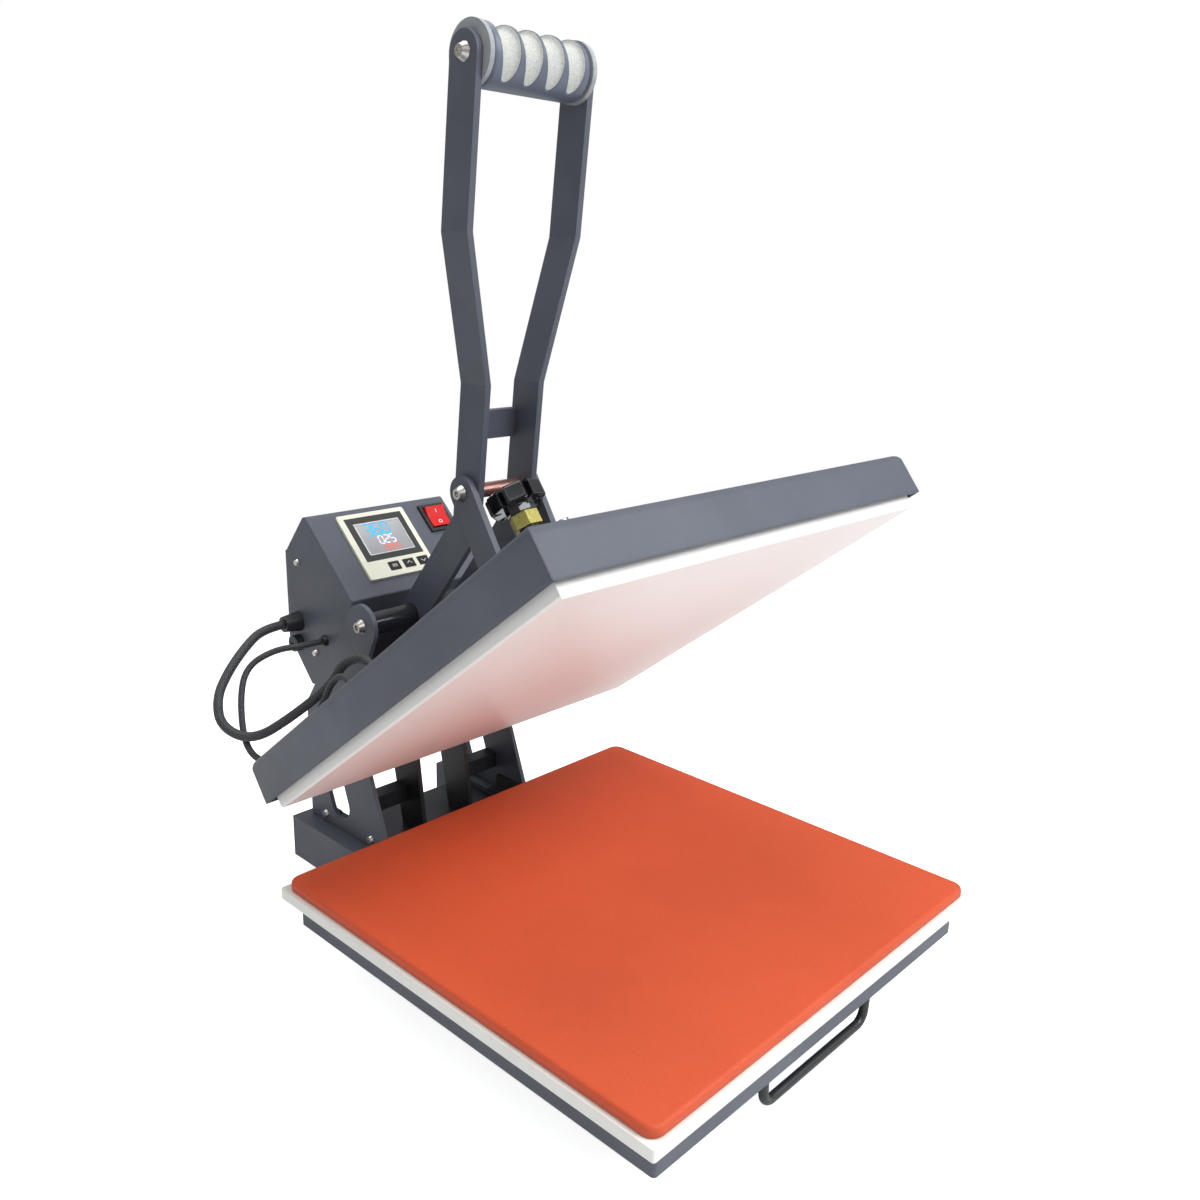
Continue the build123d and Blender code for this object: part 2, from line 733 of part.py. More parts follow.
brace_sheet = 5.0
bar_tilt = degrees(-atan2(straight_run, 1))
brace_y = link_pivot_y + (brace_z - link_pivot_z) * straight_run + (bar_width - brace_sheet) / 2
with BuildPart() as handle_brace:
    with Locations((0, brace_y, brace_z)):
        Box(2 * bar_inner_x, brace_sheet, brace_height, rotation=(bar_tilt, 0, 0))
save(handle_brace.part, "handle_brace")

with BuildPart() as handle_hub:
    with BuildSketch(side_plane(-bar_inner_x)):
        with Locations((handle_pivot_y, handle_pivot_z)):
            Circle(handle_hub_radius)
            Circle(handle_tube_radius + running_gap, mode=Mode.SUBTRACT)
    extrude(amount=2 * bar_inner_x)
save(handle_hub.part, "handle_hub")

with BuildPart() as link_tube:
    with BuildSketch(side_plane(-bar_inner_x)):
        with Locations((link_pivot_y, link_pivot_z)):
            Circle(link_tube_radius)
            Circle(bolt_radius + running_gap, mode=Mode.SUBTRACT)
    extrude(amount=2 * bar_inner_x)
save(link_tube.part, "link_tube")

link_inner_x = bar_outer_x + side_gap
link_outer_x = link_inner_x + link_sheet
core_radius = 7.0
with BuildPart() as grip_core:
    with BuildSketch(side_plane(-bar_top_inner_x)):
        with Locations((grip_y, grip_z)):
            Circle(core_radius)
    extrude(amount=2 * bar_top_inner_x)
    for x, way in ((-bar_top_inner_x, 1), (bar_top_inner_x, -1)):
        with BuildSketch(side_plane(x)):
            with Locations((grip_y, grip_z)):
                Circle(bolt_radius + running_gap)
        extrude(amount=way * bolt_depth, mode=Mode.SUBTRACT)
save(grip_core.part, "grip_core")

ring_length = 4.0
grip_half = bar_top_inner_x - ring_length
groove_count = 4
groove_pitch = 21.0
groove_radius = 15.0
groove_depth = 4.0
with BuildPart() as handle_grip:
    with BuildSketch(side_plane(-grip_half)):
        with Locations((grip_y, grip_z)):
            Circle(grip_radius)
            Circle(core_radius + running_gap, mode=Mode.SUBTRACT)
    extrude(amount=2 * grip_half)
    groove_height = grip_z + grip_radius + groove_radius - groove_depth
    with Locations((0, grip_y, groove_height)):
        with GridLocations(groove_pitch, 1, groove_count, 1):
            Cylinder(groove_radius, 4 * grip_radius, rotation=(90, 0, 0), mode=Mode.SUBTRACT)
save(handle_grip.part, "handle_grip")

with BuildPart() as grip_rings:
    for x in (-bar_top_inner_x, grip_half):
        with BuildSketch(side_plane(x)):
            with Locations((grip_y, grip_z)):
                Circle(grip_radius + 0.5)
                Circle(core_radius + running_gap, mode=Mode.SUBTRACT)
        extrude(amount=ring_length)
save(grip_rings.part, "grip_rings")

with BuildPart() as handle_screws:
    for side in (-1, 1):
        button_head(side * (link_outer_x + side_gap), link_pivot_y, link_pivot_z, side, bolt_radius, 22)
        button_head(side * bar_top_outer_x, grip_y, grip_z, side, bolt_radius, 20)
save(handle_screws.part, "handle_screws")

# Link plates and the pins at their lower ends
link_pin_radius = 5.0
with BuildPart() as link_plates:
    for x in (-link_outer_x, link_inner_x):
        with BuildSketch(side_plane(x)):
            strip((link_pivot_y, link_pivot_z), (link_end_y, link_end_z), link_width)
            with Locations((link_pivot_y, link_pivot_z)):
                Circle(bolt_radius + running_gap, mode=Mode.SUBTRACT)
            with Locations((link_end_y, link_end_z)):
                Circle(link_pin_radius + running_gap, mode=Mode.SUBTRACT)
        extrude(amount=link_sheet)
save(link_plates.part, "link_plates")

shoulder_inner_x = beam_width / 2 + boss_reach + side_gap
with BuildPart() as link_pins:
    for side in (-1, 1):
        button_head(side * link_outer_x, link_end_y, link_end_z, side, link_pin_radius, link_sheet)
        with Locations((side * (shoulder_inner_x + link_inner_x) / 2, link_end_y, link_end_z)):
            Cylinder(boss_radius - 1, link_inner_x - shoulder_inner_x, rotation=(0, 90, 0))
save(link_pins.part, "link_pins")

# Control box between the stand plates
panel_rise = panel_top_z - panel_foot_z
panel_slope = atan2(panel_rise, panel_top_y - panel_foot_y)
panel = Plane(
    origin=(0, panel_top_y, panel_top_z),
    x_dir=(1, 0, 0),
    z_dir=(0, -sin(panel_slope), cos(panel_slope)),
)
controller_case = 63.0
controller_depth = 28.0
switch_hole_x = switch_width - 4
switch_hole_y = switch_height - 4
switch_depth = 20.0
box_outline = (
    (panel_top_y, panel_top_z),
    (panel_foot_y, panel_foot_z),
    (box_front_y, box_floor_z),
    (box_floor_y, box_floor_z),
    (box_back_y, box_back_low_z),
    (box_back_y, box_back_top_z),
)
with BuildPart() as control_box:
    with BuildSketch(side_plane(-box_half_x)):
        Polygon(*box_outline, align=None)
    extrude(amount=2 * box_half_x)
    panel_edges = control_box.edges().filter_by(Axis.X).sort_by(Axis.Z)[-1:]
    fillet(panel_edges, 4)
    with BuildSketch(side_plane(box_sheet - box_half_x)):
        with BuildSketch():
            Polygon(*box_outline, align=None)
            offset(amount=-box_sheet)
    extrude(amount=2 * (box_half_x - box_sheet), mode=Mode.SUBTRACT)
    back_middle = (box_back_low_z + box_back_top_z) / 2
    back_height = box_back_top_z - box_back_low_z
    with Locations((0, box_back_y, back_middle)):
        Box(2 * (box_half_x - 6), 6 * box_sheet, back_height - 8, mode=Mode.SUBTRACT)
    with BuildSketch(panel):
        with Locations((bezel_x, -bezel_down)):
            Rectangle(controller_case + 1, controller_case + 1)
        with Locations((switch_x, -switch_down)):
            Rectangle(switch_hole_x, switch_hole_y)
    extrude(amount=6 * box_sheet, both=True, mode=Mode.SUBTRACT)
    for y, z, radius in (
        (heater_port_y, heater_port_z, heater_port_radius - 3),
        (sensor_port_y, sensor_port_z, sensor_port_radius - 1),
        (fuse_y, fuse_z, 5.0),
    ):
        with Locations((-box_half_x, y, z)):
            Cylinder(radius, 4 * box_sheet, rotation=(0, 90, 0), mode=Mode.SUBTRACT)
save(control_box.part, "control_box")

cover_plate = 1.5
inlet_z = 240.0
inlet_x = 38.0
inlet_width = 27.0
inlet_height = 20.0
with BuildPart() as box_back_cover:
    with Locations((0, box_back_y + cover_plate / 2, back_middle)):
        Box(2 * box_half_x, cover_plate, back_height)
    with Locations((inlet_x, box_back_y, inlet_z)):
        Box(inlet_width, 8 * cover_plate, inlet_height, mode=Mode.SUBTRACT)
save(box_back_cover.part, "box_back_cover")

with BuildPart() as mains_inlet:
    with Locations((inlet_x, box_back_y + cover_plate, inlet_z)):
        Box(inlet_width + 8, 2.5, inlet_height + 8, align=(Align.CENTER, Align.MIN, Align.CENTER))
        Box(inlet_width - 0.4, 18, inlet_height - 0.4, align=(Align.CENTER, Align.MAX, Align.CENTER))
    with Locations((inlet_x, box_back_y + cover_plate + 2.5, inlet_z)):
        Box(inlet_width - 5, 16, inlet_height - 5, align=(Align.CENTER, Align.MAX, Align.CENTER),
            mode=Mode.SUBTRACT)
    with Locations((inlet_x, box_back_y, inlet_z)):
        with GridLocations(7, 1, 3, 1):
            Box(2, 14, 5, align=(Align.CENTER, Align.MAX, Align.CENTER))
save(mains_inlet.part, "mains_inlet")

spacer_spots = ((211.0, 192.0), (199.0, 211.0))
spacer_length = stand_inner_x - box_half_x
with BuildPart() as box_spacers:
    for side in (-1, 1):
        for y, z in spacer_spots:
            with Locations((side * (box_half_x + spacer_length / 2), y, z)):
                Cylinder(4.5, spacer_length, rotation=(0, 90, 0))
save(box_spacers.part, "box_spacers")

# Small screws: feet, stand feet and control box
stand_screw_spots = ((215.0, 62.0), (146.0, 62.0))
box_screw_spots = ((232.5, 211.0), (256.0, 290.0))
seat = (Align.CENTER, Align.CENTER, Align.MIN)
with BuildPart() as small_screws:
    with Locations(*[(x, y, foot_recess) for x, y in foot_spots]):
        Cylinder(foot_screw_head, 3, align=(Align.CENTER, Align.CENTER, Align.MAX))
        Cylinder(foot_screw_radius, foot_height - foot_recess, align=seat)
    for side in (-1, 1):
        with Locations(*[(side * stand_outer_x, y, z) for y, z in stand_screw_spots]):
            Cone(4.2, 3.0, 2.4, rotation=(0, 90 * side, 0), align=seat)
        with Locations(*[(side * box_half_x, y, z) for y, z in box_screw_spots]):
            Cone(3.6, 2.4, 2.2, rotation=(0, 90 * side, 0), align=seat)
save(small_screws.part, "small_screws")

button_side_gap = 0.3
with BuildPart() as controller_bezel:
    with BuildSketch(panel):
        with Locations((bezel_x, -bezel_down)):
            RectangleRounded(bezel_side + 2, bezel_side, 2)
        with Locations((display_x, -display_down)):
            Rectangle(display_width, display_height, mode=Mode.SUBTRACT)
        for button in range(3):
            with Locations((button_first_x + button * button_pitch, -button_down)):
                Rectangle(button_width + 2 * button_side_gap, button_height + 2 * button_side_gap,
                          mode=Mode.SUBTRACT)
    extrude(amount=bezel_thickness)
save(controller_bezel.part, "controller_bezel")

case_front = 2.4
with BuildPart(panel) as controller_body:
    with Locations((bezel_x, -bezel_down, 0)):
        Box(controller_case, controller_case, controller_depth,
            align=(Align.CENTER, Align.CENTER, Align.MAX))
    with Locations((bezel_x, -button_down, 0)):
        Box(controller_case, button_height + 3, 2 * case_front, mode=Mode.SUBTRACT)
save(controller_body.part, "controller_body")

with BuildPart(panel) as display_glass:
    with Locations((display_x, -display_down, 0)):
        Box(display_width - 0.2, display_height - 0.2, bezel_thickness - 0.5,
            align=(Align.CENTER, Align.CENTER, Align.MIN))
save(display_glass.part, "display_glass")

button_stand = 0.7
for button, button_name in enumerate(("set_button", "up_button", "down_button")):
    with BuildPart(panel) as button_part:
        with Locations((button_first_x + button * button_pitch, -button_down,
                        button_travel + side_gap - case_front)):
            Box(button_width, button_height,
                case_front - button_travel - side_gap + bezel_thickness + button_stand,
                align=(Align.CENTER, Align.CENTER, Align.MIN))
    save(button_part.part, button_name)

frame_thickness = 2.5
pin_radius = 1.5
rocker_gap = 0.3
frame_inner_x = rocker_width + 2 * rocker_gap
frame_inner_y = rocker_height + 2 * rocker_gap + 1.0
with BuildPart(panel) as switch_frame:
    with Locations((switch_x, -switch_down, 0)):
        Box(switch_width, switch_height, frame_thickness, align=(Align.CENTER, Align.CENTER, Align.MIN))
        Box(switch_hole_x - 0.4, switch_hole_y - 0.4, switch_depth,
            align=(Align.CENTER, Align.CENTER, Align.MAX))
        Box(frame_inner_x, frame_inner_y, 2 * (switch_depth - 3), mode=Mode.SUBTRACT)
    with Locations((switch_x, -switch_down, 0)):
        Cylinder(pin_radius + running_gap, frame_inner_x + 2, rotation=(0, 90, 0), mode=Mode.SUBTRACT)
save(switch_frame.part, "switch_frame")

rocker_tilt = 8.0
with BuildPart() as power_rocker:
    rocker_side = Plane(
        origin=panel.from_local_coords((switch_x - rocker_width / 2, -switch_down, 0)),
        x_dir=panel.y_dir,
        z_dir=(1, 0, 0),
    )
    rocker_half = rocker_height / 2
    with BuildSketch(rocker_side):
        with Locations(Location((0, 0), rocker_tilt)):
            Polygon(
                (-rocker_half + 0.6, 5.2),
                (0, 3.4),
                (rocker_half - 0.6, 5.2),
                (rocker_half - 2.2, -6),
                (2.2 - rocker_half, -6),
                align=None,
            )
    extrude(amount=rocker_width)
    with Locations(panel.from_local_coords((switch_x, -switch_down, 0))):
        Cylinder(pin_radius, frame_inner_x + 1.4, rotation=(0, 90, 0))
save(power_rocker.part, "power_rocker")

relay_x = -30.0
with BuildPart() as relay:
    with Locations((relay_x, box_back_y, back_middle)):
        Box(45, 22, 58, align=(Align.CENTER, Align.MAX, Align.CENTER))
save(relay.part, "relay")

with BuildPart() as lead_glands:
    with Locations((-box_half_x, heater_port_y, heater_port_z)):
        Cone(heater_port_radius, heater_port_radius - 2, gland_reach, rotation=(0, -90, 0),
             align=(Align.CENTER, Align.CENTER, Align.MIN))
        Cylinder(heater_lead_diameter / 2, 4 * gland_reach, rotation=(0, 90, 0), mode=Mode.SUBTRACT)
    with Locations((-box_half_x, sensor_port_y, sensor_port_z)):
        Cone(sensor_port_radius, sensor_port_radius - 1, sensor_gland_reach, rotation=(0, -90, 0),
             align=(Align.CENTER, Align.CENTER, Align.MIN))
        Cylinder(sensor_lead_diameter / 2, 4 * gland_reach, rotation=(0, 90, 0), mode=Mode.SUBTRACT)
save(lead_glands.part, "lead_glands")

with BuildPart() as fuse_holder:
    with Locations((-box_half_x, fuse_y, fuse_z)):
        Cylinder(7.5, 7, rotation=(0, -90, 0), align=(Align.CENTER, Align.CENTER, Align.MIN))
        Cylinder(4.8, 20, rotation=(0, 90, 0), align=(Align.CENTER, Align.CENTER, Align.MIN))
    with Locations((-box_half_x - 7, fuse_y, fuse_z)):
        Box(2, 9, 1.6, mode=Mode.SUBTRACT)
save(fuse_holder.part, "fuse_holder")


# Leads: each runs from its gland in a free loop to its grommet on the platen cover
def over_cover(x, y, rise):
    """A point above the tipped-back cover, from its place on the head."""
    return tuple(head.from_local_coords((x, y, cover_high + rise)))


lead_end_gap = 0.3
heater_x, heater_y = heater_grommet
heater_route = [
    (-box_half_x - gland_reach, heater_port_y, heater_port_z),
    (-112.0, heater_port_y, heater_port_z),
    (-136.0, 247.0, 226.0),
    (-158.0, 237.0, 212.0),
    (-176.0, 225.0, 197.0),
    (-183.0, 208.0, 178.0),
    (-165.0, 190.0, 166.0),
    (-138.0, 170.0, 187.0),
    (-112.0, 153.0, 212.0),
    over_cover(heater_x - 8, heater_y + 26, 50),
    over_cover(heater_x - 2, heater_y + 8, 46),
    over_cover(heater_x, heater_y, 34),
    over_cover(heater_x, heater_y, grommet_rise + lead_end_gap),
]
sensor_x, sensor_y = sensor_grommet
sensor_route = [
    (-box_half_x - sensor_gland_reach, sensor_port_y, sensor_port_z),
    (-97.0, sensor_port_y, sensor_port_z),
    (-118.0, 229.0, 225.0),
    (-142.0, 236.0, 213.0),
    (-157.0, 222.0, 190.0),
    (-170.0, 194.0, 158.0),
    (-158.0, 178.0, 146.0),
    (-142.0, 164.0, 160.0),
    (-128.0, 154.0, 186.0),
    over_cover(sensor_x - 4, sensor_y + 36, 30),
    over_cover(sensor_x - 1, sensor_y + 20, 38),
    over_cover(sensor_x, sensor_y + 6, 36),
    over_cover(sensor_x, sensor_y, 27),
    over_cover(sensor_x, sensor_y, grommet_rise + lead_end_gap),
]


def bend_radii(route):
    points = [Vector(*point) for point in route]
    radii = []
    for before, corner, after in zip(points, points[1:], points[2:]):
        run_in = corner - before
        run_out = after - corner
        half_turn = radians(run_in.get_angle(run_out)) / 2
        radii.append(0.45 * min(run_in.length, run_out.length) / (sin(half_turn) / cos(half_turn)))
    return radii


for lead_name, route, diameter in (
    ("heater_lead", heater_route, heater_lead_diameter),
    ("sensor_lead", sensor_route, sensor_lead_diameter),
):
    radii = bend_radii(route)
    with BuildPart() as lead:
        with BuildLine() as lead_path:
            FilletPolyline(*route, radius=radii)
        with BuildSketch(Plane(origin=lead_path.line @ 0, z_dir=lead_path.line % 0)):
            Circle(diameter / 2)
        sweep(path=lead_path.line)
    lead_length = sum(edge.length for edge in lead_path.edges())
    expected = lead_length * pi * diameter**2 / 4
    print(lead_name, "length", round(lead_length), "radii", [round(r) for r in radii],
          "volume share", round(lead.part.volume / expected, 3))
    save(lead.part, lead_name)
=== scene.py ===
import json
import math

import bmesh
import bpy
from mathutils import Matrix, Vector

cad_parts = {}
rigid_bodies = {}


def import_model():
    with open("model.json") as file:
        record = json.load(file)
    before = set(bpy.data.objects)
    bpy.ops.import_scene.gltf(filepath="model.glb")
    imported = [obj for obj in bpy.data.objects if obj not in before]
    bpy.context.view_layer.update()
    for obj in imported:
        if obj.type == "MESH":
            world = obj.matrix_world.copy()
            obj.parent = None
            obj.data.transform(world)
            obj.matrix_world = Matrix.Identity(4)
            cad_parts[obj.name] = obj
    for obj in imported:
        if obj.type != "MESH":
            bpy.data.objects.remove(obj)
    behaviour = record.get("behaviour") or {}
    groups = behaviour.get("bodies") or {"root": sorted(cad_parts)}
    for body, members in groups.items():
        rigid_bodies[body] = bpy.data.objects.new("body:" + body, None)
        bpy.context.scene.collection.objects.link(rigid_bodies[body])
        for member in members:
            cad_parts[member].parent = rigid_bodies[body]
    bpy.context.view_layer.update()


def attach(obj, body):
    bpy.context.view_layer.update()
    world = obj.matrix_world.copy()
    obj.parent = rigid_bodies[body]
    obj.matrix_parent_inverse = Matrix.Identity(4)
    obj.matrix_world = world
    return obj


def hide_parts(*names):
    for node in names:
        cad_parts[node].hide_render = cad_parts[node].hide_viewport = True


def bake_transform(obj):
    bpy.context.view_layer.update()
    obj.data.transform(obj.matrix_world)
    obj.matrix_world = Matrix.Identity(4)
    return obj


bl_info = {
    "name": "Flat heat press looks",
    "version": (1, 0, 0),
    "blender": (4, 5, 0),
    "location": "View3D > Sidebar > Press",
    "description": "Materials and fine pieces of a clamshell heat press on its packed frame",
    "category": "Object",
}

ARM_PIVOT = Vector((0, 0.1935, 0.114))
TIP = math.radians(38)
HEAD_Y = Vector((0, math.cos(TIP), -math.sin(TIP)))
HEAD_Z = Vector((0, math.sin(TIP), math.cos(TIP)))
PANEL_ORIGIN = Vector((0, 0.242, 0.335))
SCREW_Y = -0.269
COVER_HIGH = 0.0136
KNOB_LOW = COVER_HIGH + 0.093
THREAD_LOW = COVER_HIGH + 0.0043
THREAD_HIGH = KNOB_LOW + 0.0075
GRIP_Y = 0.044
GRIP_Z = 0.686
GRIP_RADIUS = 0.0215
GRIP_FACE = math.radians(125)
SCALLOP_DEPTH = 0.0056
GRIP_SPOTS = (-0.0315, -0.0105, 0.0105, 0.0315)
SLOPE = math.atan2(0.063, 0.069)
PANEL_Y = Vector((0, math.cos(SLOPE), math.sin(SLOPE)))
PANEL_Z = Vector((0, -math.sin(SLOPE), math.cos(SLOPE)))

HEATER_ROUTE = (
    (-0.091, 0.258, 0.235),
    (-0.112, 0.258, 0.235),
    (-0.136, 0.247, 0.226),
    (-0.158, 0.237, 0.212),
    (-0.176, 0.225, 0.197),
    (-0.183, 0.208, 0.178),
    (-0.165, 0.190, 0.166),
    (-0.138, 0.170, 0.187),
    (-0.112, 0.153, 0.212),
    (-0.104, 0.1460, 0.2318),
    (-0.098, 0.1293, 0.2398),
    (-0.096, 0.1156, 0.2352),
    (-0.096, 0.1047, 0.2213),
)
SENSOR_ROUTE = (
    (-0.079, 0.216, 0.227),
    (-0.097, 0.216, 0.227),
    (-0.118, 0.229, 0.225),
    (-0.142, 0.236, 0.213),
    (-0.157, 0.222, 0.190),
    (-0.170, 0.194, 0.158),
    (-0.158, 0.178, 0.146),
    (-0.142, 0.164, 0.160),
    (-0.128, 0.154, 0.186),
    (-0.122, 0.1463, 0.2062),
    (-0.119, 0.1386, 0.2224),
    (-0.118, 0.1263, 0.2294),
    (-0.118, 0.1161, 0.2260),
    (-0.118, 0.1095, 0.2176),
)


def colour(name, description, value):
    return bpy.props.FloatVectorProperty(
        name=name, description=description, subtype="COLOR", size=3, min=0, max=1, default=value
    )


def length(name, description, value):
    return bpy.props.FloatProperty(
        name=name, description=description, default=value, min=0, unit="LENGTH", precision=5
    )


class PressCoats(bpy.types.PropertyGroup):
    """Colours of the painted, plated and moulded surfaces."""

    powder: colour("Powder coat", "Slate grey coat in full light", (0.096, 0.105, 0.130))
    powder_deep: colour("Powder coat, deep", "Slate grey coat in its darker patches", (0.076, 0.083, 0.105))
    black: colour("Black coat", "Coat of the inner plates", (0.030, 0.031, 0.035))
    pad: colour("Pad", "Orange silicone pad", (0.66, 0.084, 0.021))
    board: colour("Board", "Cream heat-proof board", (0.90, 0.90, 0.84))
    platen: colour("Platen", "Off-white release coating", (0.86, 0.85, 0.82))
    bezel: colour("Bezel", "Cream film round the controller", (0.80, 0.79, 0.66))
    rocker: colour("Rocker", "Red rocker switch", (0.72, 0.012, 0.012))
    brass: colour("Brass", "Speckled lock nut", (0.62, 0.55, 0.16))
    # Shiny link tube: its pink tint is painted reflection of the red silicone pad.
    copper: colour("Copper", "Tube between the handle bars", (0.80, 0.42, 0.36))


class PressSizes(bpy.types.PropertyGroup):
    """Sizes of the pieces that are built here."""

    pad_side: length("Pad side", "Width and depth of the silicone pad", 0.380)
    pad_low: length("Pad underside", "Height of the pad's underside", 0.0756)
    pad_top: length("Pad top", "Height of the pad's top", 0.084)
    pad_corner: length("Pad corner", "Radius of the pad's corners", 0.010)
    pad_round: length("Pad edge", "Radius of the pad's upper edge", 0.003)
    heater_lead: length("Heater lead", "Diameter of the heater lead", 0.008)
    sensor_lead: length("Sensor lead", "Diameter of the sensor lead", 0.0055)
    thread_pitch: length("Thread pitch", "Pitch of the pressure screw", 0.002)
    thread_radius: length("Thread radius", "Outer radius of the pressure screw", 0.008)
    thread_depth: length("Thread depth", "Depth of the screw's thread", 0.0011)
    digit_height: length("Digit height", "Height of the display's largest digits", 0.0125)
    edge_round: length("Edge rounding", "How far painted edges look rounded", 0.0009)
    fold_round: length("Fold rounding", "How far folded sheet edges look rounded", 0.0035)
    grain: length("Coat grain", "Size of the powder coat's texture", 0.0005)


class Nodes:
    """A material's node tree, built one node at a time."""

    def __init__(self, name):
        self.material = bpy.data.materials.new(name)
        self.material.use_nodes = True
        self.tree = self.material.node_tree
        self.tree.nodes.clear()
        self.output = self.tree.nodes.new("ShaderNodeOutputMaterial")

    def add(self, kind, settings=None, **inputs):
        node = self.tree.nodes.new("ShaderNode" + kind)
        for key, value in (settings or {}).items():
            setattr(node, key, value)
        for key, value in inputs.items():
            self.put(node, key.replace("_", " "), value)
        return node

    def put(self, node, key, value):
        socket = node.inputs[int(key)] if key.isdigit() else node.inputs[key]
        if isinstance(value, bpy.types.NodeSocket):
            self.tree.links.new(value, socket)
        elif hasattr(value, "__len__") and len(value) == 3 and socket.type == "RGBA":
            socket.default_value = (*value, 1)
        else:
            socket.default_value = value

    def noise(self, point, scale, detail=3.0, rough=0.6):
        return self.add("TexNoise", Vector=point, Scale=scale, Detail=detail, Roughness=rough).outputs[0]

    def span(self, value, low, high, to_low, to_high):
        node = self.add("MapRange", {"clamp": True})
        for index, entry in enumerate((value, low, high, to_low, to_high)):
            self.put(node, str(index), entry)
        return node.outputs[0]

    def mix(self, share, a, b):
        node = self.add("Mix", {"data_type": "RGBA"})
        self.put(node, "0", share)
        self.put(node, "6", a)
        self.put(node, "7", b)
        return node.outputs[2]

    def sum(self, operation, a, b=0.0):
        node = self.add("Math", {"operation": operation})
        self.put(node, "0", a)
        self.put(node, "1", b)
        return node.outputs[0]


def surface(
    name, base, deep, rough=0.4, spread=0.08, metallic=0.0, grain=1800.0, depth=0.00002,
    patch=9.0, stretch=(1, 1, 1), rounding=0.0006, edge=0.0, coat=0.0, spots=None, fine=0.25,
    subsurface=0.0,
):
    """A finish with patches of colour, a fine grain, uneven gloss, softened edges and a painted highlight
    that lightens the edges.
    """
    n = Nodes(name)
    place = n.add("TexCoord").outputs["Object"]
    stretched = n.add("Mapping", Vector=place, Scale=stretch).outputs[0]
    broad = n.noise(place, patch, 4.0)
    small = n.noise(stretched, grain, 4.0, 0.65)
    tone = n.mix(n.span(broad, 0.35, 0.65, 0.0, 1.0), base, deep)
    tone = n.mix(n.span(small, 0.3, 0.7, 0.0, fine), tone, tuple(0.72 * c for c in deep))
    soft = n.add("Bevel", {"samples": 4}, Radius=rounding).outputs[0]
    # Painted highlight: at edges, where the softened normal leaves the flat one, the colour is mixed by up to
    # edge towards a lighter copy of the base colour.
    if edge:
        flat = n.add("NewGeometry").outputs["Normal"]
        facing = n.add("VectorMath", {"operation": "DOT_PRODUCT"})
        n.put(facing, "0", soft)
        n.put(facing, "1", flat)
        edge_highlight = n.span(facing.outputs["Value"], 0.86, 0.995, edge, 0.0)
        tone = n.mix(edge_highlight, tone, tuple(min(1.0, 2.1 * c + 0.03) for c in base))
    if spots:
        fleck = n.span(n.noise(place, spots[0], 2.0), spots[1], spots[1] + 0.05, 0.0, 1.0)
        tone = n.mix(fleck, tone, spots[2])
    fine_gloss = n.span(small, 0.3, 0.7, rough - spread, rough + spread)
    gloss = n.sum("ADD", fine_gloss, n.span(broad, 0.4, 0.6, -0.02, 0.03))
    bump = n.add("Bump", Strength=1.0, Distance=depth, Height=small, Normal=soft).outputs[0]
    shader = n.add(
        "BsdfPrincipled", Base_Color=tone, Roughness=gloss, Metallic=metallic, Normal=bump,
        Coat_Weight=coat, Coat_Roughness=0.08, Subsurface_Weight=subsurface,
    )
    if subsurface:
        shader.inputs["Subsurface Scale"].default_value = 0.002
    n.put(n.output, "Surface", shader.outputs[0])
    return n.material


def dress(material, *names):
    """Gives CAD nodes this material."""
    for name in names:
        node = bpy.data.objects[name]
        node.data.materials.clear()
        node.data.materials.append(material)


def piece(name, mesh, material, body, smooth=False):
    """Adds a mesh piece that rides on a CAD body."""
    made = bpy.data.objects.new(name, mesh)
    bpy.context.scene.collection.objects.link(made)
    mesh.materials.clear()
    mesh.materials.append(material)
    if smooth:
        mesh.shade_smooth()
    if body:
        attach(made, body)
    return made


def plates(name, outlines, origin, across, up, low, high):
    """Closed plates from outlines drawn on a plane, from height low to high over it."""
    normal = across.cross(up)
    bm = bmesh.new()
    for outline in outlines:
        rings = []
        for height in (low, high):
            rings.append([bm.verts.new(origin + across * x + up * y + normal * height) for x, y in outline])
        count = len(outline)
        bm.faces.new(rings[0][::-1])
        bm.faces.new(rings[1])
        for i in range(count):
            j = (i + 1) % count
            bm.faces.new((rings[0][i], rings[0][j], rings[1][j], rings[1][i]))
    bmesh.ops.recalc_face_normals(bm, faces=bm.faces)
    mesh = bpy.data.meshes.new(name)
    bm.to_mesh(mesh)
    bm.free()
    return mesh


def frame_strips(x, y, width, height, border):
    """Four strips that make a rectangular frame round an opening."""
    w, h = width / 2, height / 2
    left, right = x - w - border, x + w + border
    spans = (
        (left, right, y + h, y + h + border),
        (left, right, y - h - border, y - h),
        (left, x - w, y - h, y + h),
        (x + w, right, y - h, y + h),
    )
    return [((a, c), (b, c), (b, d), (a, d)) for a, b, c, d in spans]


SEGMENTS = {
    "0": "abcdef", "2": "abged", "3": "abgcd", "5": "afgcd", "6": "afgedc",
}


def digit_outlines(text, x, y, height):
    """Seven-segment digits as slim six-sided plates."""
    width = height * 0.52
    bar = height * 0.15
    gap = bar * 0.18
    step = width * 1.38
    outlines = []
    for place, character in enumerate(text):
        left = x + place * step
        right, mid, top = left + width, y + height / 2, y + height
        ends = {
            "a": ((left, top), (right, top)), "g": ((left, mid), (right, mid)), "d": ((left, y), (right, y)),
            "f": ((left, mid), (left, top)), "b": ((right, mid), (right, top)),
            "e": ((left, y), (left, mid)), "c": ((right, y), (right, mid)),
        }
        for key in SEGMENTS[character]:
            start, end = Vector(ends[key][0]), Vector(ends[key][1])
            along = (end - start).normalized()
            side = Vector((-along.y, along.x)) * bar / 2
            start, end = start + along * gap, end - along * gap
            tip = along * bar / 2
            corners = (start, start + tip - side, end - tip - side, end, end - tip + side, start + tip + side)
            outlines.append([tuple(corner) for corner in corners])
    return outlines


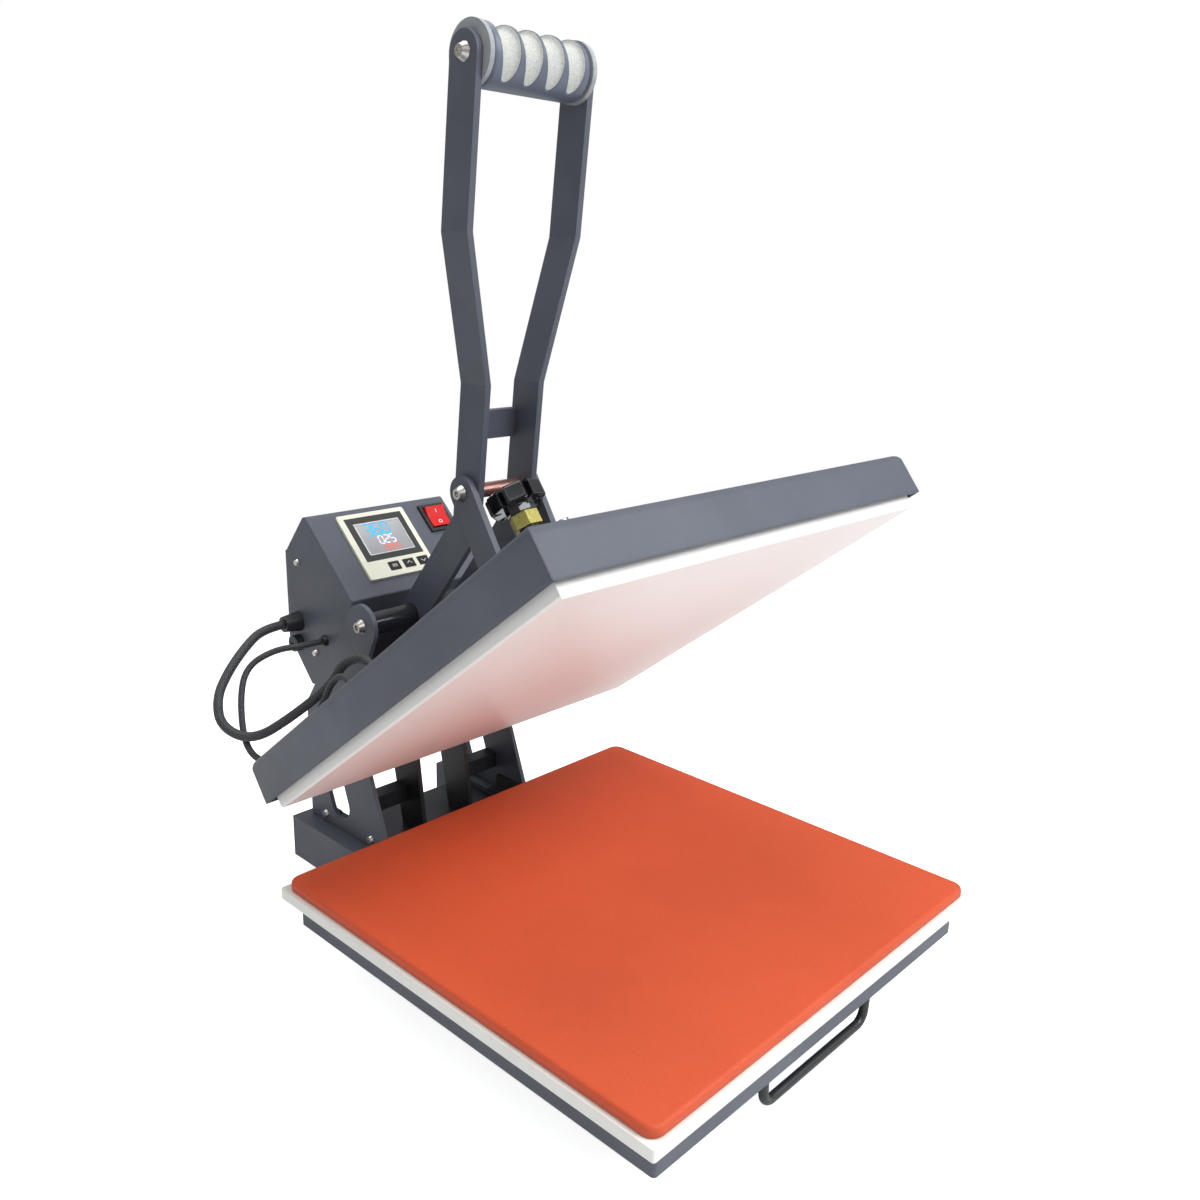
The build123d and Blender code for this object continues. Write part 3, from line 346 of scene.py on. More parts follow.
def glow(name, light, strength, base=(0.02, 0.02, 0.02)):
    """Lit display ink with a little unevenness."""
    n = Nodes(name)
    place = n.add("TexCoord").outputs["Object"]
    level = n.span(n.noise(place, 900.0), 0.3, 0.7, strength * 0.85, strength * 1.1)
    shader = n.add(
        "BsdfPrincipled", Base_Color=base, Roughness=0.35, Emission_Color=light, Emission_Strength=level,
    )
    n.put(n.output, "Surface", shader.outputs[0])
    return n.material


def centreline(name, route):
    """Points along a NURBS line whose control points are the route's."""
    curve = bpy.data.curves.new(name, "CURVE")
    curve.dimensions = "3D"
    spline = curve.splines.new("NURBS")
    spline.points.add(len(route) - 1)
    for point, place in zip(spline.points, route):
        point.co = (*place, 1)
    spline.order_u = 3
    spline.use_endpoint_u = True
    spline.resolution_u = 16
    guide = bpy.data.objects.new(name, curve)
    bpy.context.scene.collection.objects.link(guide)
    bpy.context.view_layer.update()
    line = bpy.data.meshes.new_from_object(guide.evaluated_get(bpy.context.evaluated_depsgraph_get()))
    points = [v.co.copy() for v in line.vertices]
    bpy.data.objects.remove(guide)
    bpy.data.meshes.remove(line)
    return points


def tube(name, points, radius, sides=20):
    """A closed tube along points, with a UV of metres along and turns around."""
    bm = bmesh.new()
    uv = bm.loops.layers.uv.new("weave")
    rings, runs = [], [0.0]
    tangent = (points[1] - points[0]).normalized()
    side = tangent.orthogonal().normalized()
    for i, point in enumerate(points):
        ahead = (points[min(i + 1, len(points) - 1)] - points[max(i - 1, 0)]).normalized()
        side = (side - ahead * side.dot(ahead)).normalized()
        other = ahead.cross(side)
        if i:
            runs.append(runs[-1] + (point - points[i - 1]).length)
        rings.append([
            bm.verts.new(point + radius * (math.cos(a) * side + math.sin(a) * other))
            for a in (math.tau * k / sides for k in range(sides))
        ])
    for i in range(len(rings) - 1):
        for k in range(sides):
            j = (k + 1) % sides
            face = bm.faces.new((rings[i][k], rings[i][j], rings[i + 1][j], rings[i + 1][k]))
            turns = (k / sides, (k + 1) / sides, (k + 1) / sides, k / sides)
            for loop, turn, run in zip(face.loops, turns, (runs[i], runs[i], runs[i + 1], runs[i + 1])):
                loop[uv].uv = (turn, run)
    bm.faces.new(rings[0][::-1])
    bm.faces.new(rings[-1])
    bmesh.ops.recalc_face_normals(bm, faces=bm.faces)
    mesh = bpy.data.meshes.new(name)
    bm.to_mesh(mesh)
    bm.free()
    mesh.shade_smooth()
    return mesh


def sleeve_material(name, strands, pitch, light, dark):
    """Braided sleeve: two sets of strands that cross over each other."""
    n = Nodes(name)
    uv = n.add("UVMap", {"uv_map": "weave"}).outputs[0]
    parts = n.add("SeparateXYZ", Vector=uv)
    turn = n.sum("MULTIPLY", parts.outputs[0], float(strands))
    run = n.sum("MULTIPLY", parts.outputs[1], 1.0 / pitch)
    waves = []
    for way in ("ADD", "SUBTRACT"):
        phase = n.sum("MULTIPLY", n.sum(way, turn, run), math.tau)
        waves.append(n.sum("ABSOLUTE", n.sum("SINE", n.sum("MULTIPLY", phase, 0.5))))
    weave = n.sum("MULTIPLY", waves[0], waves[1])
    place = n.add("TexCoord").outputs["Object"]
    fuzz = n.noise(place, 2600.0, 3.0)
    tone = n.mix(n.span(weave, 0.0, 0.8, 0.0, 1.0), dark, light)
    tone = n.mix(n.span(n.noise(place, 60.0), 0.4, 0.6, 0.0, 0.35), tone, dark)
    height = n.sum("ADD", weave, n.sum("MULTIPLY", fuzz, 0.3))
    bump = n.add("Bump", Strength=1.0, Distance=0.00025, Height=height).outputs[0]
    shader = n.add(
        "BsdfPrincipled", Base_Color=tone, Roughness=n.span(fuzz, 0.3, 0.7, 0.42, 0.62), Normal=bump,
        Sheen_Weight=0.15,
    )
    n.put(n.output, "Surface", shader.outputs[0])
    return n.material


def skin(bm, rings):
    """Joins closed rings of corners into one closed skin."""
    count = len(rings[0])
    for a, b in zip(rings, rings[1:]):
        for k in range(count):
            j = (k + 1) % count
            bm.faces.new((a[k], a[j], b[j], b[k]))
    bm.faces.new(rings[0][::-1])
    bm.faces.new(rings[-1])


def knob_mesh(name):
    """A seven-lobed knob with flat lobe ends, bevelled edges and an eight-sided neck."""
    base = ARM_PIVOT + HEAD_Y * SCREW_Y
    across = Vector((1, 0, 0))
    lobes, steps, flat_reach, valley = 7, 24, 0.0228, 0.0172
    bm = bmesh.new()
    rings = []
    for rise, inset in (
        (0.0, 0.0016), (0.0004, 0.0008), (0.0012, 0.0002), (0.0022, 0.0), (0.0122, 0.0),
        (0.0134, 0.0003), (0.0143, 0.0010), (0.0148, 0.0022), (0.0150, 0.0040),
    ):
        ring = []
        for k in range(lobes * steps):
            turn = math.tau / lobes
            along = (k % steps) / steps - 0.5
            edge = min(1.0, max(0.0, (abs(along) - 0.33) / 0.085))
            edge = edge * edge * (3 - 2 * edge)
            radius = (flat_reach / math.cos(along * turn)) * (1 - edge) + valley * edge - inset
            angle = (k / steps) * turn
            spot = base + HEAD_Z * (KNOB_LOW + rise)
            ring.append(bm.verts.new(spot + radius * (math.cos(angle) * across + math.sin(angle) * HEAD_Y)))
        rings.append(ring)
    skin(bm, rings)
    rings = []
    for rise, radius in ((-0.0070, 0.0110), (-0.0062, 0.0122), (0.0002, 0.0124)):
        spot = base + HEAD_Z * (KNOB_LOW + rise)
        rings.append([
            bm.verts.new(spot + radius * (math.cos(a) * across + math.sin(a) * HEAD_Y))
            for a in (math.tau * k / 8 for k in range(8))
        ])
    skin(bm, rings)
    bmesh.ops.recalc_face_normals(bm, faces=bm.faces)
    mesh = bpy.data.meshes.new(name)
    bm.to_mesh(mesh)
    bm.free()
    return mesh


def grip_mesh(name):
    """A round grip with four finger scallops cut into its upper front."""
    stations, sides = 220, 112
    half, shoulder, reach, spread = 0.0472, 0.0045, 0.0096, 1.95
    bm = bmesh.new()
    rings = []
    for i in range(stations + 1):
        x = -half + 2 * half * i / stations
        end = max(0.0, abs(x) - half + shoulder) / shoulder
        outer = GRIP_RADIUS - shoulder * (1 - math.sqrt(max(0.0, 1 - end * end)))
        ring = []
        for k in range(sides):
            angle = math.tau * k / sides
            aside = abs((angle - GRIP_FACE + math.pi) % math.tau - math.pi) / spread
            depth = 0.0
            if aside < 1:
                width = reach * math.sqrt(1 - aside * aside)
                for spot in GRIP_SPOTS:
                    offset = abs(x - spot) / width
                    if offset < 1:
                        depth = SCALLOP_DEPTH * math.sqrt(1 - offset * offset) * (1 - aside * aside) ** 0.7
            radius = outer - depth
            y, z = GRIP_Y + radius * math.cos(angle), GRIP_Z + radius * math.sin(angle)
            ring.append(bm.verts.new((x, y, z)))
        rings.append(ring)
    skin(bm, rings)
    bmesh.ops.recalc_face_normals(bm, faces=bm.faces)
    mesh = bpy.data.meshes.new(name)
    bm.to_mesh(mesh)
    bm.free()
    return mesh


class PRESS_OT_camera(bpy.types.Operator):
    """Place the camera where the photograph was taken from"""

    bl_idname = "press.camera"
    bl_label = "Camera"

    def execute(self, context):
        data = bpy.data.cameras.new("camera")
        camera = bpy.data.objects.new("camera", data)
        context.scene.collection.objects.link(camera)
        right = Vector((0.68791, -0.72532, 0.02625)).normalized()
        up = Vector((0.18796, 0.21295, 0.95881)).normalized()
        back = right.cross(up).normalized()
        up = back.cross(right)
        turn = Matrix((right, up, back)).transposed().to_4x4()
        camera.matrix_world = Matrix.Translation((-0.5956, -0.5995, 0.5473)) @ turn
        data.lens = 33.69
        data.sensor_width = 36.0
        data.clip_start = 0.01
        data.clip_end = 100
        context.scene.camera = camera
        return {"FINISHED"}


class PRESS_OT_stage(bpy.types.Operator):
    """Lay the white floor and set the soft studio lights"""

    bl_idname = "press.stage"
    bl_label = "Stage and lights"

    def execute(self, context):
        scene = context.scene
        scene.view_settings.view_transform = "Standard"
        world = bpy.data.worlds.new("studio")
        world.use_nodes = True
        tree = world.node_tree
        tree.nodes.clear()
        seen = tree.nodes.new("ShaderNodeLightPath")
        seen_white = tree.nodes.new("ShaderNodeBackground")
        seen_white.inputs["Color"].default_value = (1, 1, 1, 1)
        lighting = tree.nodes.new("ShaderNodeBackground")
        lighting.inputs["Color"].default_value = (0.95, 0.97, 1, 1)
        lighting.inputs["Strength"].default_value = 0.38
        choose = tree.nodes.new("ShaderNodeMixShader")
        output = tree.nodes.new("ShaderNodeOutputWorld")
        tree.links.new(seen.outputs["Is Camera Ray"], choose.inputs[0])
        tree.links.new(lighting.outputs[0], choose.inputs[1])
        tree.links.new(seen_white.outputs[0], choose.inputs[2])
        tree.links.new(choose.outputs[0], output.inputs[0])
        scene.world = world

        mesh = bpy.data.meshes.new("floor")
        half = 6.0
        corners = [(-half, -half, 0), (half, -half, 0), (half, half, 0), (-half, half, 0)]
        mesh.from_pydata(corners, [], [(0, 1, 2, 3)])
        floor = bpy.data.objects.new("floor", mesh)
        scene.collection.objects.link(floor)
        n = Nodes("floor_white")
        matt = n.add("BsdfDiffuse", Color=(0.86, 0.86, 0.86)).outputs[0]
        lift = n.add("Emission", Color=(1, 1, 1), Strength=0.82).outputs[0]
        far = n.add("Emission", Color=(1, 1, 1), Strength=1.0).outputs[0]
        both = n.add("AddShader")
        n.put(both, "0", matt)
        n.put(both, "1", lift)
        away = n.add("VectorMath", {"operation": "LENGTH"})
        n.put(away, "0", n.add("TexCoord").outputs["Object"])
        fade = n.add("MixShader", Fac=n.span(away.outputs["Value"], 0.55, 1.15, 0.0, 1.0))
        n.put(fade, "1", both.outputs[0])
        n.put(fade, "2", far)
        pick = n.add("MixShader", Fac=n.add("LightPath").outputs["Is Camera Ray"])
        n.put(pick, "1", matt)
        n.put(pick, "2", fade.outputs[0])
        n.put(n.output, "Surface", pick.outputs[0])
        mesh.materials.append(n.material)

        aim = Vector((0, 0, 0.25))
        for name, place, size, power, tint in (
            ("key", (0.9, -2.0, 2.1), 1.6, 52, (0.97, 0.98, 1)),
            ("fill", (-1.9, -1.7, 1.9), 1.6, 9, (0.95, 0.97, 1)),
            ("handle", (0.1, -1.2, 1.5), 0.7, 9, (0.96, 0.98, 1)),
            ("overhead", (0.1, 0.4, 2.4), 1.8, 30, (1, 1, 1)),
        ):
            data = bpy.data.lights.new(name, "AREA")
            data.size = size
            data.energy = power
            data.color = tint
            light = bpy.data.objects.new(name, data)
            scene.collection.objects.link(light)
            light.location = place
            light.rotation_euler = (aim - Vector(place)).to_track_quat("-Z", "Y").to_euler()
        return {"FINISHED"}


class PRESS_OT_leads(bpy.types.Operator):
    """Run the two braided leads from the control box to the platen"""

    bl_idname = "press.leads"
    bl_label = "Leads"

    def execute(self, context):
        sizes = context.scene.press_sizes
        for name, route, diameter, metres, strands in (
            ("heater_lead_sleeve", HEATER_ROUTE, sizes.heater_lead, 0.300, 10),
            ("sensor_lead_sleeve", SENSOR_ROUTE, sizes.sensor_lead, 0.292, 8),
        ):
            points = centreline(name + "_line", route)
            mesh = tube(name, points, diameter / 2)
            material = sleeve_material(name, strands, 0.0042, (0.05, 0.052, 0.06), (0.008, 0.008, 0.01))
            lead = piece(name, mesh, material, None)
            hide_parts(name.replace("_sleeve", ""))
            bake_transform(lead)
        return {"FINISHED"}


class PRESS_OT_coats(bpy.types.Operator):
    """Powder coat the plates, covers, beams and bars"""

    bl_idname = "press.coats"
    bl_label = "Powder coats"

    def execute(self, context):
        coats, sizes = context.scene.press_coats, context.scene.press_sizes
        powder = surface(
            "powder_coat", tuple(coats.powder), tuple(coats.powder_deep), rough=0.46, spread=0.05,
            grain=1 / sizes.grain, depth=0.00004, rounding=sizes.edge_round, edge=0.28, fine=0.16,
        )
        dress(
            powder, "base_rails", "cross_members", "stand_plates", "drawer_tray", "handle_bars",
            "handle_brace", "link_plates", "box_back_cover", "arm_beam",
        )
        folded = surface(
            "powder_coat_folded", tuple(coats.powder), tuple(coats.powder_deep), rough=0.46, spread=0.05,
            grain=1 / sizes.grain, depth=0.00004, rounding=sizes.fold_round, edge=0.2, fine=0.16,
        )
        dress(folded, "control_box", "platen_cover")
        inner = surface(
            "black_coat", tuple(coats.black), tuple(0.7 * c for c in coats.black), rough=0.36, spread=0.06,
            grain=1 / sizes.grain, depth=0.00004, rounding=sizes.edge_round, edge=0.22, fine=0.2,
        )
        dress(inner, "stand_brackets", "pivot_cheeks", "cheek_supports", "pull_handle", "screw_block",
              "box_spacers", "thrust_block")
        gloss = surface(
            "black_tube", (0.022, 0.023, 0.027), (0.014, 0.014, 0.017), rough=0.22, spread=0.05,
            grain=700.0, depth=0.00001, coat=0.3, edge=0.15, stretch=(0.2, 1, 1),
        )
        dress(gloss, "handle_shaft", "handle_hub")
        return {"FINISHED"}


class PRESS_OT_metals(bpy.types.Operator):
    """Finish the stainless, zinc, bronze and brass parts, and the shiny link tube whose pink tint is painted
    reflection of the red pad
    """

    bl_idname = "press.metals"
    bl_label = "Bare metals"

    def execute(self, context):
        coats = context.scene.press_coats
        stainless = surface(
            "stainless", (0.66, 0.63, 0.58), (0.55, 0.52, 0.48), rough=0.24, spread=0.08, metallic=1.0,
            grain=2400.0, depth=0.000006, patch=120.0, rounding=0.0005, fine=0.2,
        )
        dress(stainless, "handle_shaft_screws", "small_screws", "handle_screws", "link_pins")
        zinc = surface(
            "bright_zinc", (0.58, 0.58, 0.60), (0.44, 0.45, 0.48), rough=0.30, spread=0.10, metallic=1.0,
            grain=1500.0, depth=0.00001, patch=45.0, rounding=0.0005, fine=0.3,
        )
        dress(zinc, "arm_shaft", "fixed_slides", "moving_slides", "platen_studs", "guide_pins", "arm_hub",
              "grip_core")
        bronze = surface(
            "bronze", (0.50, 0.33, 0.16), (0.38, 0.24, 0.11), rough=0.35, metallic=1.0, grain=1800.0,
            depth=0.00001, patch=80.0,
        )
        dress(bronze, "guide_bushes")
        brass = surface(
            "speckled_brass", tuple(coats.brass), tuple(0.72 * c for c in coats.brass), rough=0.42,
            spread=0.12, metallic=0.75, grain=900.0, depth=0.00006, patch=260.0, rounding=0.0006,
            edge=0.5, fine=0.55, spots=(1100.0, 0.60, (0.25, 0.21, 0.07)),
        )
        dress(brass, "jam_nut")
        # Shiny metal link tube; the pink tint of its colour is painted reflection of the red silicone pad.
        copper = surface(
            "copper_sleeve", tuple(coats.copper), tuple(0.8 * c for c in coats.copper), rough=0.25,
            metallic=0.9, grain=1200.0, depth=0.000008, patch=70.0, stretch=(0.15, 1, 1),
        )
        dress(copper, "link_tube")
        sheath = surface(
            "heater_sheath", (0.30, 0.27, 0.25), (0.20, 0.18, 0.18), rough=0.5, metallic=0.8,
            grain=900.0, depth=0.00002, patch=40.0,
        )
        dress(sheath, "heating_element")
        return {"FINISHED"}


class PRESS_OT_thread(bpy.types.Operator):
    """Cut a real helical thread on the pressure screw"""

    bl_idname = "press.thread"
    bl_label = "Pressure screw"

    def execute(self, context):
        sizes = context.scene.press_sizes
        low, high = THREAD_LOW, THREAD_HIGH
        sides = 32
        step = sizes.thread_pitch / 6
        levels = int((high - low) / step)
        base = ARM_PIVOT + HEAD_Y * SCREW_Y
        across = Vector((1, 0, 0))
        bm = bmesh.new()
        rings = []
        for level in range(levels + 1):
            rise = low + (high - low) * level / levels
            ring = []
            for k in range(sides):
                phase = ((rise - low) / sizes.thread_pitch - k / sides) % 1.0
                crest = min(1.0, max(0.0, 2.6 * abs(phase - 0.5) - 0.15))
                taper = min(1.0, min(level, levels - level) / 5)
                radius = sizes.thread_radius - sizes.thread_depth * (1 - crest * taper)
                angle = math.tau * k / sides
                spot = base + HEAD_Z * rise + radius * (math.cos(angle) * across + math.sin(angle) * HEAD_Y)
                ring.append(bm.verts.new(spot))
            rings.append(ring)
        for a, b in zip(rings, rings[1:]):
            for k in range(sides):
                j = (k + 1) % sides
                bm.faces.new((a[k], a[j], b[j], b[k]))
        bm.faces.new(rings[0][::-1])
        bm.faces.new(rings[-1])
        bmesh.ops.recalc_face_normals(bm, faces=bm.faces)
        mesh = bpy.data.meshes.new("pressure_screw_thread")
        bm.to_mesh(mesh)
        bm.free()
        steel = surface(
            "oiled_steel", (0.20, 0.19, 0.18), (0.12, 0.11, 0.10), rough=0.3, metallic=1.0, grain=1600.0,
            depth=0.00001, patch=90.0, rounding=0.0002,
        )
        screw = piece("pressure_screw_thread", mesh, steel, "knob", smooth=True)
        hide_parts("pressure_screw")
        return {"FINISHED"}


class PRESS_OT_bed(bpy.types.Operator):
    """Build the soft pad and finish the board, heat platen and insulation blanket"""

    bl_idname = "press.bed"
    bl_label = "Bed and platen"

    def execute(self, context):
        coats, sizes = context.scene.press_coats, context.scene.press_sizes
        half, corner, rounding = sizes.pad_side / 2, sizes.pad_corner, sizes.pad_round
        centre = Vector((0, -0.0835, 0))
        levels = [(0.0012, sizes.pad_low), (0.0, sizes.pad_low + 0.0012)]
        for i in range(9):
            angle = math.radians(90 * i / 8)
            inset = rounding * (1 - math.cos(angle))
            levels.append((inset, sizes.pad_top - rounding * (1 - math.sin(angle))))
        levels += [(inset, sizes.pad_top) for inset in (0.006, 0.012, 0.03, 0.07, 0.12, 0.17)]
        bm = bmesh.new()
        rings = []
        for inset, height in levels:
            reach, radius = half - inset, max(corner - inset, 0.0015)
            ring = []
            for cx, cy, first in ((1, 1, 0), (-1, 1, 90), (-1, -1, 180), (1, -1, 270)):
                for i in range(9):
                    angle = math.radians(first + 90 * i / 8)
                    ring.append(bm.verts.new((
                        centre.x + cx * (reach - radius) + radius * math.cos(angle),
                        centre.y + cy * (reach - radius) + radius * math.sin(angle),
                        height,
                    )))
            rings.append(ring)
        count = len(rings[0])
        for a, b in zip(rings, rings[1:]):
            for i in range(count):
                j = (i + 1) % count
                bm.faces.new((a[i], a[j], b[j], b[i]))
        bm.faces.new(rings[0][::-1])
        bm.faces.new(rings[-1])
        bmesh.ops.recalc_face_normals(bm, faces=bm.faces)
        mesh = bpy.data.meshes.new("silicone_pad_soft")
        bm.to_mesh(mesh)
        bm.free()
        silicone = surface(
            "silicone", tuple(coats.pad), tuple(0.9 * c for c in coats.pad), rough=0.62, spread=0.06,
            grain=1300.0, depth=0.00012, patch=5.0, rounding=0.0004, fine=0.30, subsurface=0.08,
            spots=(2100.0, 0.64, (0.70, 0.17, 0.07)),
        )
        pad = piece("silicone_pad_soft", mesh, silicone, "drawer", smooth=True)
        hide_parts("silicone_pad")
        board = surface(
            "board", tuple(coats.board), tuple(0.93 * c for c in coats.board), rough=0.55, spread=0.05,
            grain=900.0, depth=0.00003, patch=14.0, rounding=0.0012, fine=0.05, edge=0.2,
        )
        dress(board, "lower_board")
        platen = surface(
            "platen_coat", tuple(coats.platen), tuple(0.96 * c for c in coats.platen), rough=0.42,
            spread=0.04, grain=2200.0, depth=0.000012, patch=4.0, rounding=0.0008, fine=0.03, coat=0.05,
            edge=0.4,
        )
        dress(platen, "heat_platen")
        blanket = surface(
            "fibre_blanket", (0.76, 0.74, 0.68), (0.66, 0.63, 0.56), rough=0.9, spread=0.05, grain=700.0,
            depth=0.0004, patch=30.0, fine=0.3,
        )
        dress(blanket, "insulation_blanket")
        return {"FINISHED"}


class PRESS_OT_mouldings(bpy.types.Operator):
    """Finish the rubber and plastic parts and the knob"""

    bl_idname = "press.mouldings"
    bl_label = "Mouldings"

    def execute(self, context):
        rubber = surface(
            "black_rubber", (0.022, 0.022, 0.024), (0.014, 0.014, 0.015), rough=0.72, spread=0.08,
            grain=1400.0, depth=0.00006, patch=30.0, rounding=0.0008, edge=0.12,
        )
        dress(rubber, "rubber_feet", "lead_grommets")
        plastic = surface(
            "black_plastic", (0.024, 0.025, 0.028), (0.017, 0.017, 0.019), rough=0.42, spread=0.06,
            grain=1900.0, depth=0.00003, patch=40.0, rounding=0.0007, edge=0.2,
        )
        dress(plastic, "rail_caps", "mains_inlet", "controller_body", "relay", "lead_glands", "fuse_holder",
              "switch_frame")
        keys = surface(
            "key_plastic", (0.014, 0.014, 0.016), (0.009, 0.009, 0.010), rough=0.35, spread=0.05,
            grain=1500.0, depth=0.00002, patch=150.0, rounding=0.0006, edge=0.3,
        )
        dress(keys, "set_button", "up_button", "down_button")
        knob = surface(
            "knob_phenolic", (0.008, 0.008, 0.010), (0.005, 0.005, 0.007), rough=0.14, spread=0.04,
            grain=500.0, depth=0.000012, patch=60.0, rounding=0.0011, edge=0.35, coat=0.6, fine=0.1,
        )
        turner = piece("pressure_knob_lobed", knob_mesh("pressure_knob_lobed"), knob, "knob")
        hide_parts("pressure_knob")
        return {"FINISHED"}


class PRESS_OT_grip(bpy.types.Operator):
    """Finish the handle grip with its speckled finger grooves"""

    bl_idname = "press.grip"
    bl_label = "Grip"

    def execute(self, context):
        n = Nodes("grip_slate")
        place = n.add("TexCoord").outputs["Object"]
        parts = n.add("SeparateXYZ", Vector=place)
        back = n.sum("SUBTRACT", parts.outputs[1], GRIP_Y)
        rise = n.sum("SUBTRACT", parts.outputs[2], GRIP_Z)
        square = n.sum("ADD", n.sum("MULTIPLY", back, back), n.sum("MULTIPLY", rise, rise))
        deep = n.sum("LESS_THAN", n.sum("SQRT", square), GRIP_RADIUS - 0.0006)
        middle = n.sum("LESS_THAN", n.sum("ABSOLUTE", parts.outputs[0]), 0.0425)
        grooves = n.sum("MULTIPLY", deep, middle)
        speck = n.span(n.noise(place, 1700.0, 3.0), 0.42, 0.6, 0.0, 1.0)
        small = n.noise(place, 1500.0, 4.0)
        patches = n.span(n.noise(place, 25.0), 0.35, 0.65, 0.0, 1.0)
        slate = n.mix(patches, (0.125, 0.145, 0.195), (0.100, 0.118, 0.160))
        pale = n.mix(speck, (0.58, 0.58, 0.53), (0.34, 0.35, 0.34))
        tone = n.mix(grooves, slate, pale)
        soft = n.add("Bevel", {"samples": 4}, Radius=0.0008).outputs[0]
        height = n.sum("ADD", small, n.sum("MULTIPLY", grooves, speck))
        bump = n.add("Bump", Strength=1.0, Distance=0.00006, Height=height, Normal=soft).outputs[0]
        rough = n.sum("ADD", n.span(small, 0.3, 0.7, 0.38, 0.50), n.sum("MULTIPLY", grooves, 0.2))
        shader = n.add("BsdfPrincipled", Base_Color=tone, Roughness=rough, Normal=bump)
        n.put(n.output, "Surface", shader.outputs[0])
        grip = piece(
            "handle_grip_scalloped", grip_mesh("handle_grip_scalloped"), n.material, "handle",
            smooth=True,
        )
        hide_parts("handle_grip")
        rings = surface(
            "grip_rings", (0.40, 0.42, 0.43), (0.30, 0.32, 0.33), rough=0.5, spread=0.08, grain=1500.0,
            depth=0.00004, patch=60.0, rounding=0.0008, spots=(1700.0, 0.58, (0.2, 0.21, 0.22)),
        )
        dress(rings, "grip_rings")
        return {"FINISHED"}


class PRESS_OT_controller(bpy.types.Operator):
    """Build the controller's face: display, digits and key signs"""

    bl_idname = "press.controller"
    bl_label = "Controller face"

    def execute(self, context):
        coats, sizes = context.scene.press_coats, context.scene.press_sizes
        across, up = Vector((1, 0, 0)), PANEL_Y
        film = surface(
            "bezel_film", tuple(coats.bezel), tuple(0.93 * c for c in coats.bezel), rough=0.34, spread=0.04,
            grain=1500.0, depth=0.000015, patch=40.0, rounding=0.0004, fine=0.05, coat=0.2,
        )
        dress(film, "controller_bezel")

        n = Nodes("display_panel")
        place = n.add("TexCoord").outputs["Object"]
        parts = n.add("SeparateXYZ", Vector=place)
        fall = n.span(parts.outputs[2], 0.296, 0.323, 0.0, 1.0)
        lit = n.mix(fall, (0.28, 0.27, 0.28), (0.60, 0.61, 0.62))
        lit = n.mix(n.span(n.noise(place, 55.0, 2.0), 0.35, 0.65, 0.0, 0.45), lit, (0.42, 0.41, 0.45))
        shader = n.add(
            "BsdfPrincipled", Base_Color=(0.1, 0.1, 0.11), Roughness=0.12, Emission_Color=lit,
            Emission_Strength=0.75, Coat_Weight=0.3,
        )
        n.put(n.output, "Surface", shader.outputs[0])
        dress(n.material, "display_glass")

        dark = surface(
            "dark_print", (0.035, 0.038, 0.036), (0.028, 0.030, 0.029), rough=0.4, grain=1500.0,
            depth=0.00001, patch=60.0, rounding=0.0002, fine=0.1,
        )
        border = plates(
            "display_border", frame_strips(-0.0115, -0.0365, 0.0482, 0.0342, 0.0065), PANEL_ORIGIN,
            across, up, 0.00245, 0.00262,
        )
        piece("display_border", border, dark, "root")
        rim = plates(
            "display_rim", frame_strips(-0.011, -0.037, 0.0464, 0.0324, 0.0009), PANEL_ORIGIN, across, up,
            0.00205, 0.00272,
        )
        pale = surface(
            "pale_rim", (0.72, 0.73, 0.72), (0.62, 0.63, 0.62), rough=0.3, patch=50.0, rounding=0.0002,
        )
        piece("display_rim", rim, pale, "root")

        tall = sizes.digit_height
        for name, text, x, y, height, light, strength in (
            ("digits_heat", "360", -0.0265, -0.0338, tall, (0.02, 0.55, 1.0), 1.15),
            ("digits_time", "025", -0.0180, -0.0437, tall * 0.68, (0.90, 0.88, 1.0), 1.15),
            ("digits_count", "0005", -0.0155, -0.0512, tall * 0.46, (0.95, 0.16, 0.08), 1.1),
        ):
            outlines = digit_outlines(text, x, y, height)
            mesh = plates(name, outlines, PANEL_ORIGIN, across, up, 0.00205, 0.00222)
            piece(name, mesh, glow(name, light, strength), "root")

        sign = surface(
            "key_sign", (0.62, 0.63, 0.62), (0.5, 0.51, 0.5), rough=0.4, patch=200.0, rounding=0.0001,
        )
        top = 0.0025 + 0.0007
        button_y = -0.0685
        arrow = [
            (-0.0024, -0.0012), (0.0, 0.0010), (0.0024, -0.0012),
            (0.0024, -0.0002), (0.0, 0.0020), (-0.0024, -0.0002),
        ]
        bars = [
            [(-0.0026, 0.0008), (0.0026, 0.0008), (0.0026, 0.0014), (-0.0026, 0.0014)],
            [(-0.0026, -0.0003), (0.0026, -0.0003), (0.0026, 0.0003), (-0.0026, 0.0003)],
            [(-0.0026, -0.0014), (0.0026, -0.0014), (0.0026, -0.0008), (-0.0026, -0.0008)],
        ]
        for name, x, shapes, body in (
            ("set_sign", -0.0178, bars, "set_key"),
            ("up_sign", -0.0020, [arrow], "up_key"),
            ("down_sign", 0.0138, [[(-a, -b) for a, b in arrow]], "down_key"),
        ):
            outlines = [[(x + a, button_y + b) for a, b in shape] for shape in shapes]
            mesh = plates(name, outlines, PANEL_ORIGIN, across, up, top + 0.00004, top + 0.00016)
            piece(name, mesh, sign, body)
        return {"FINISHED"}


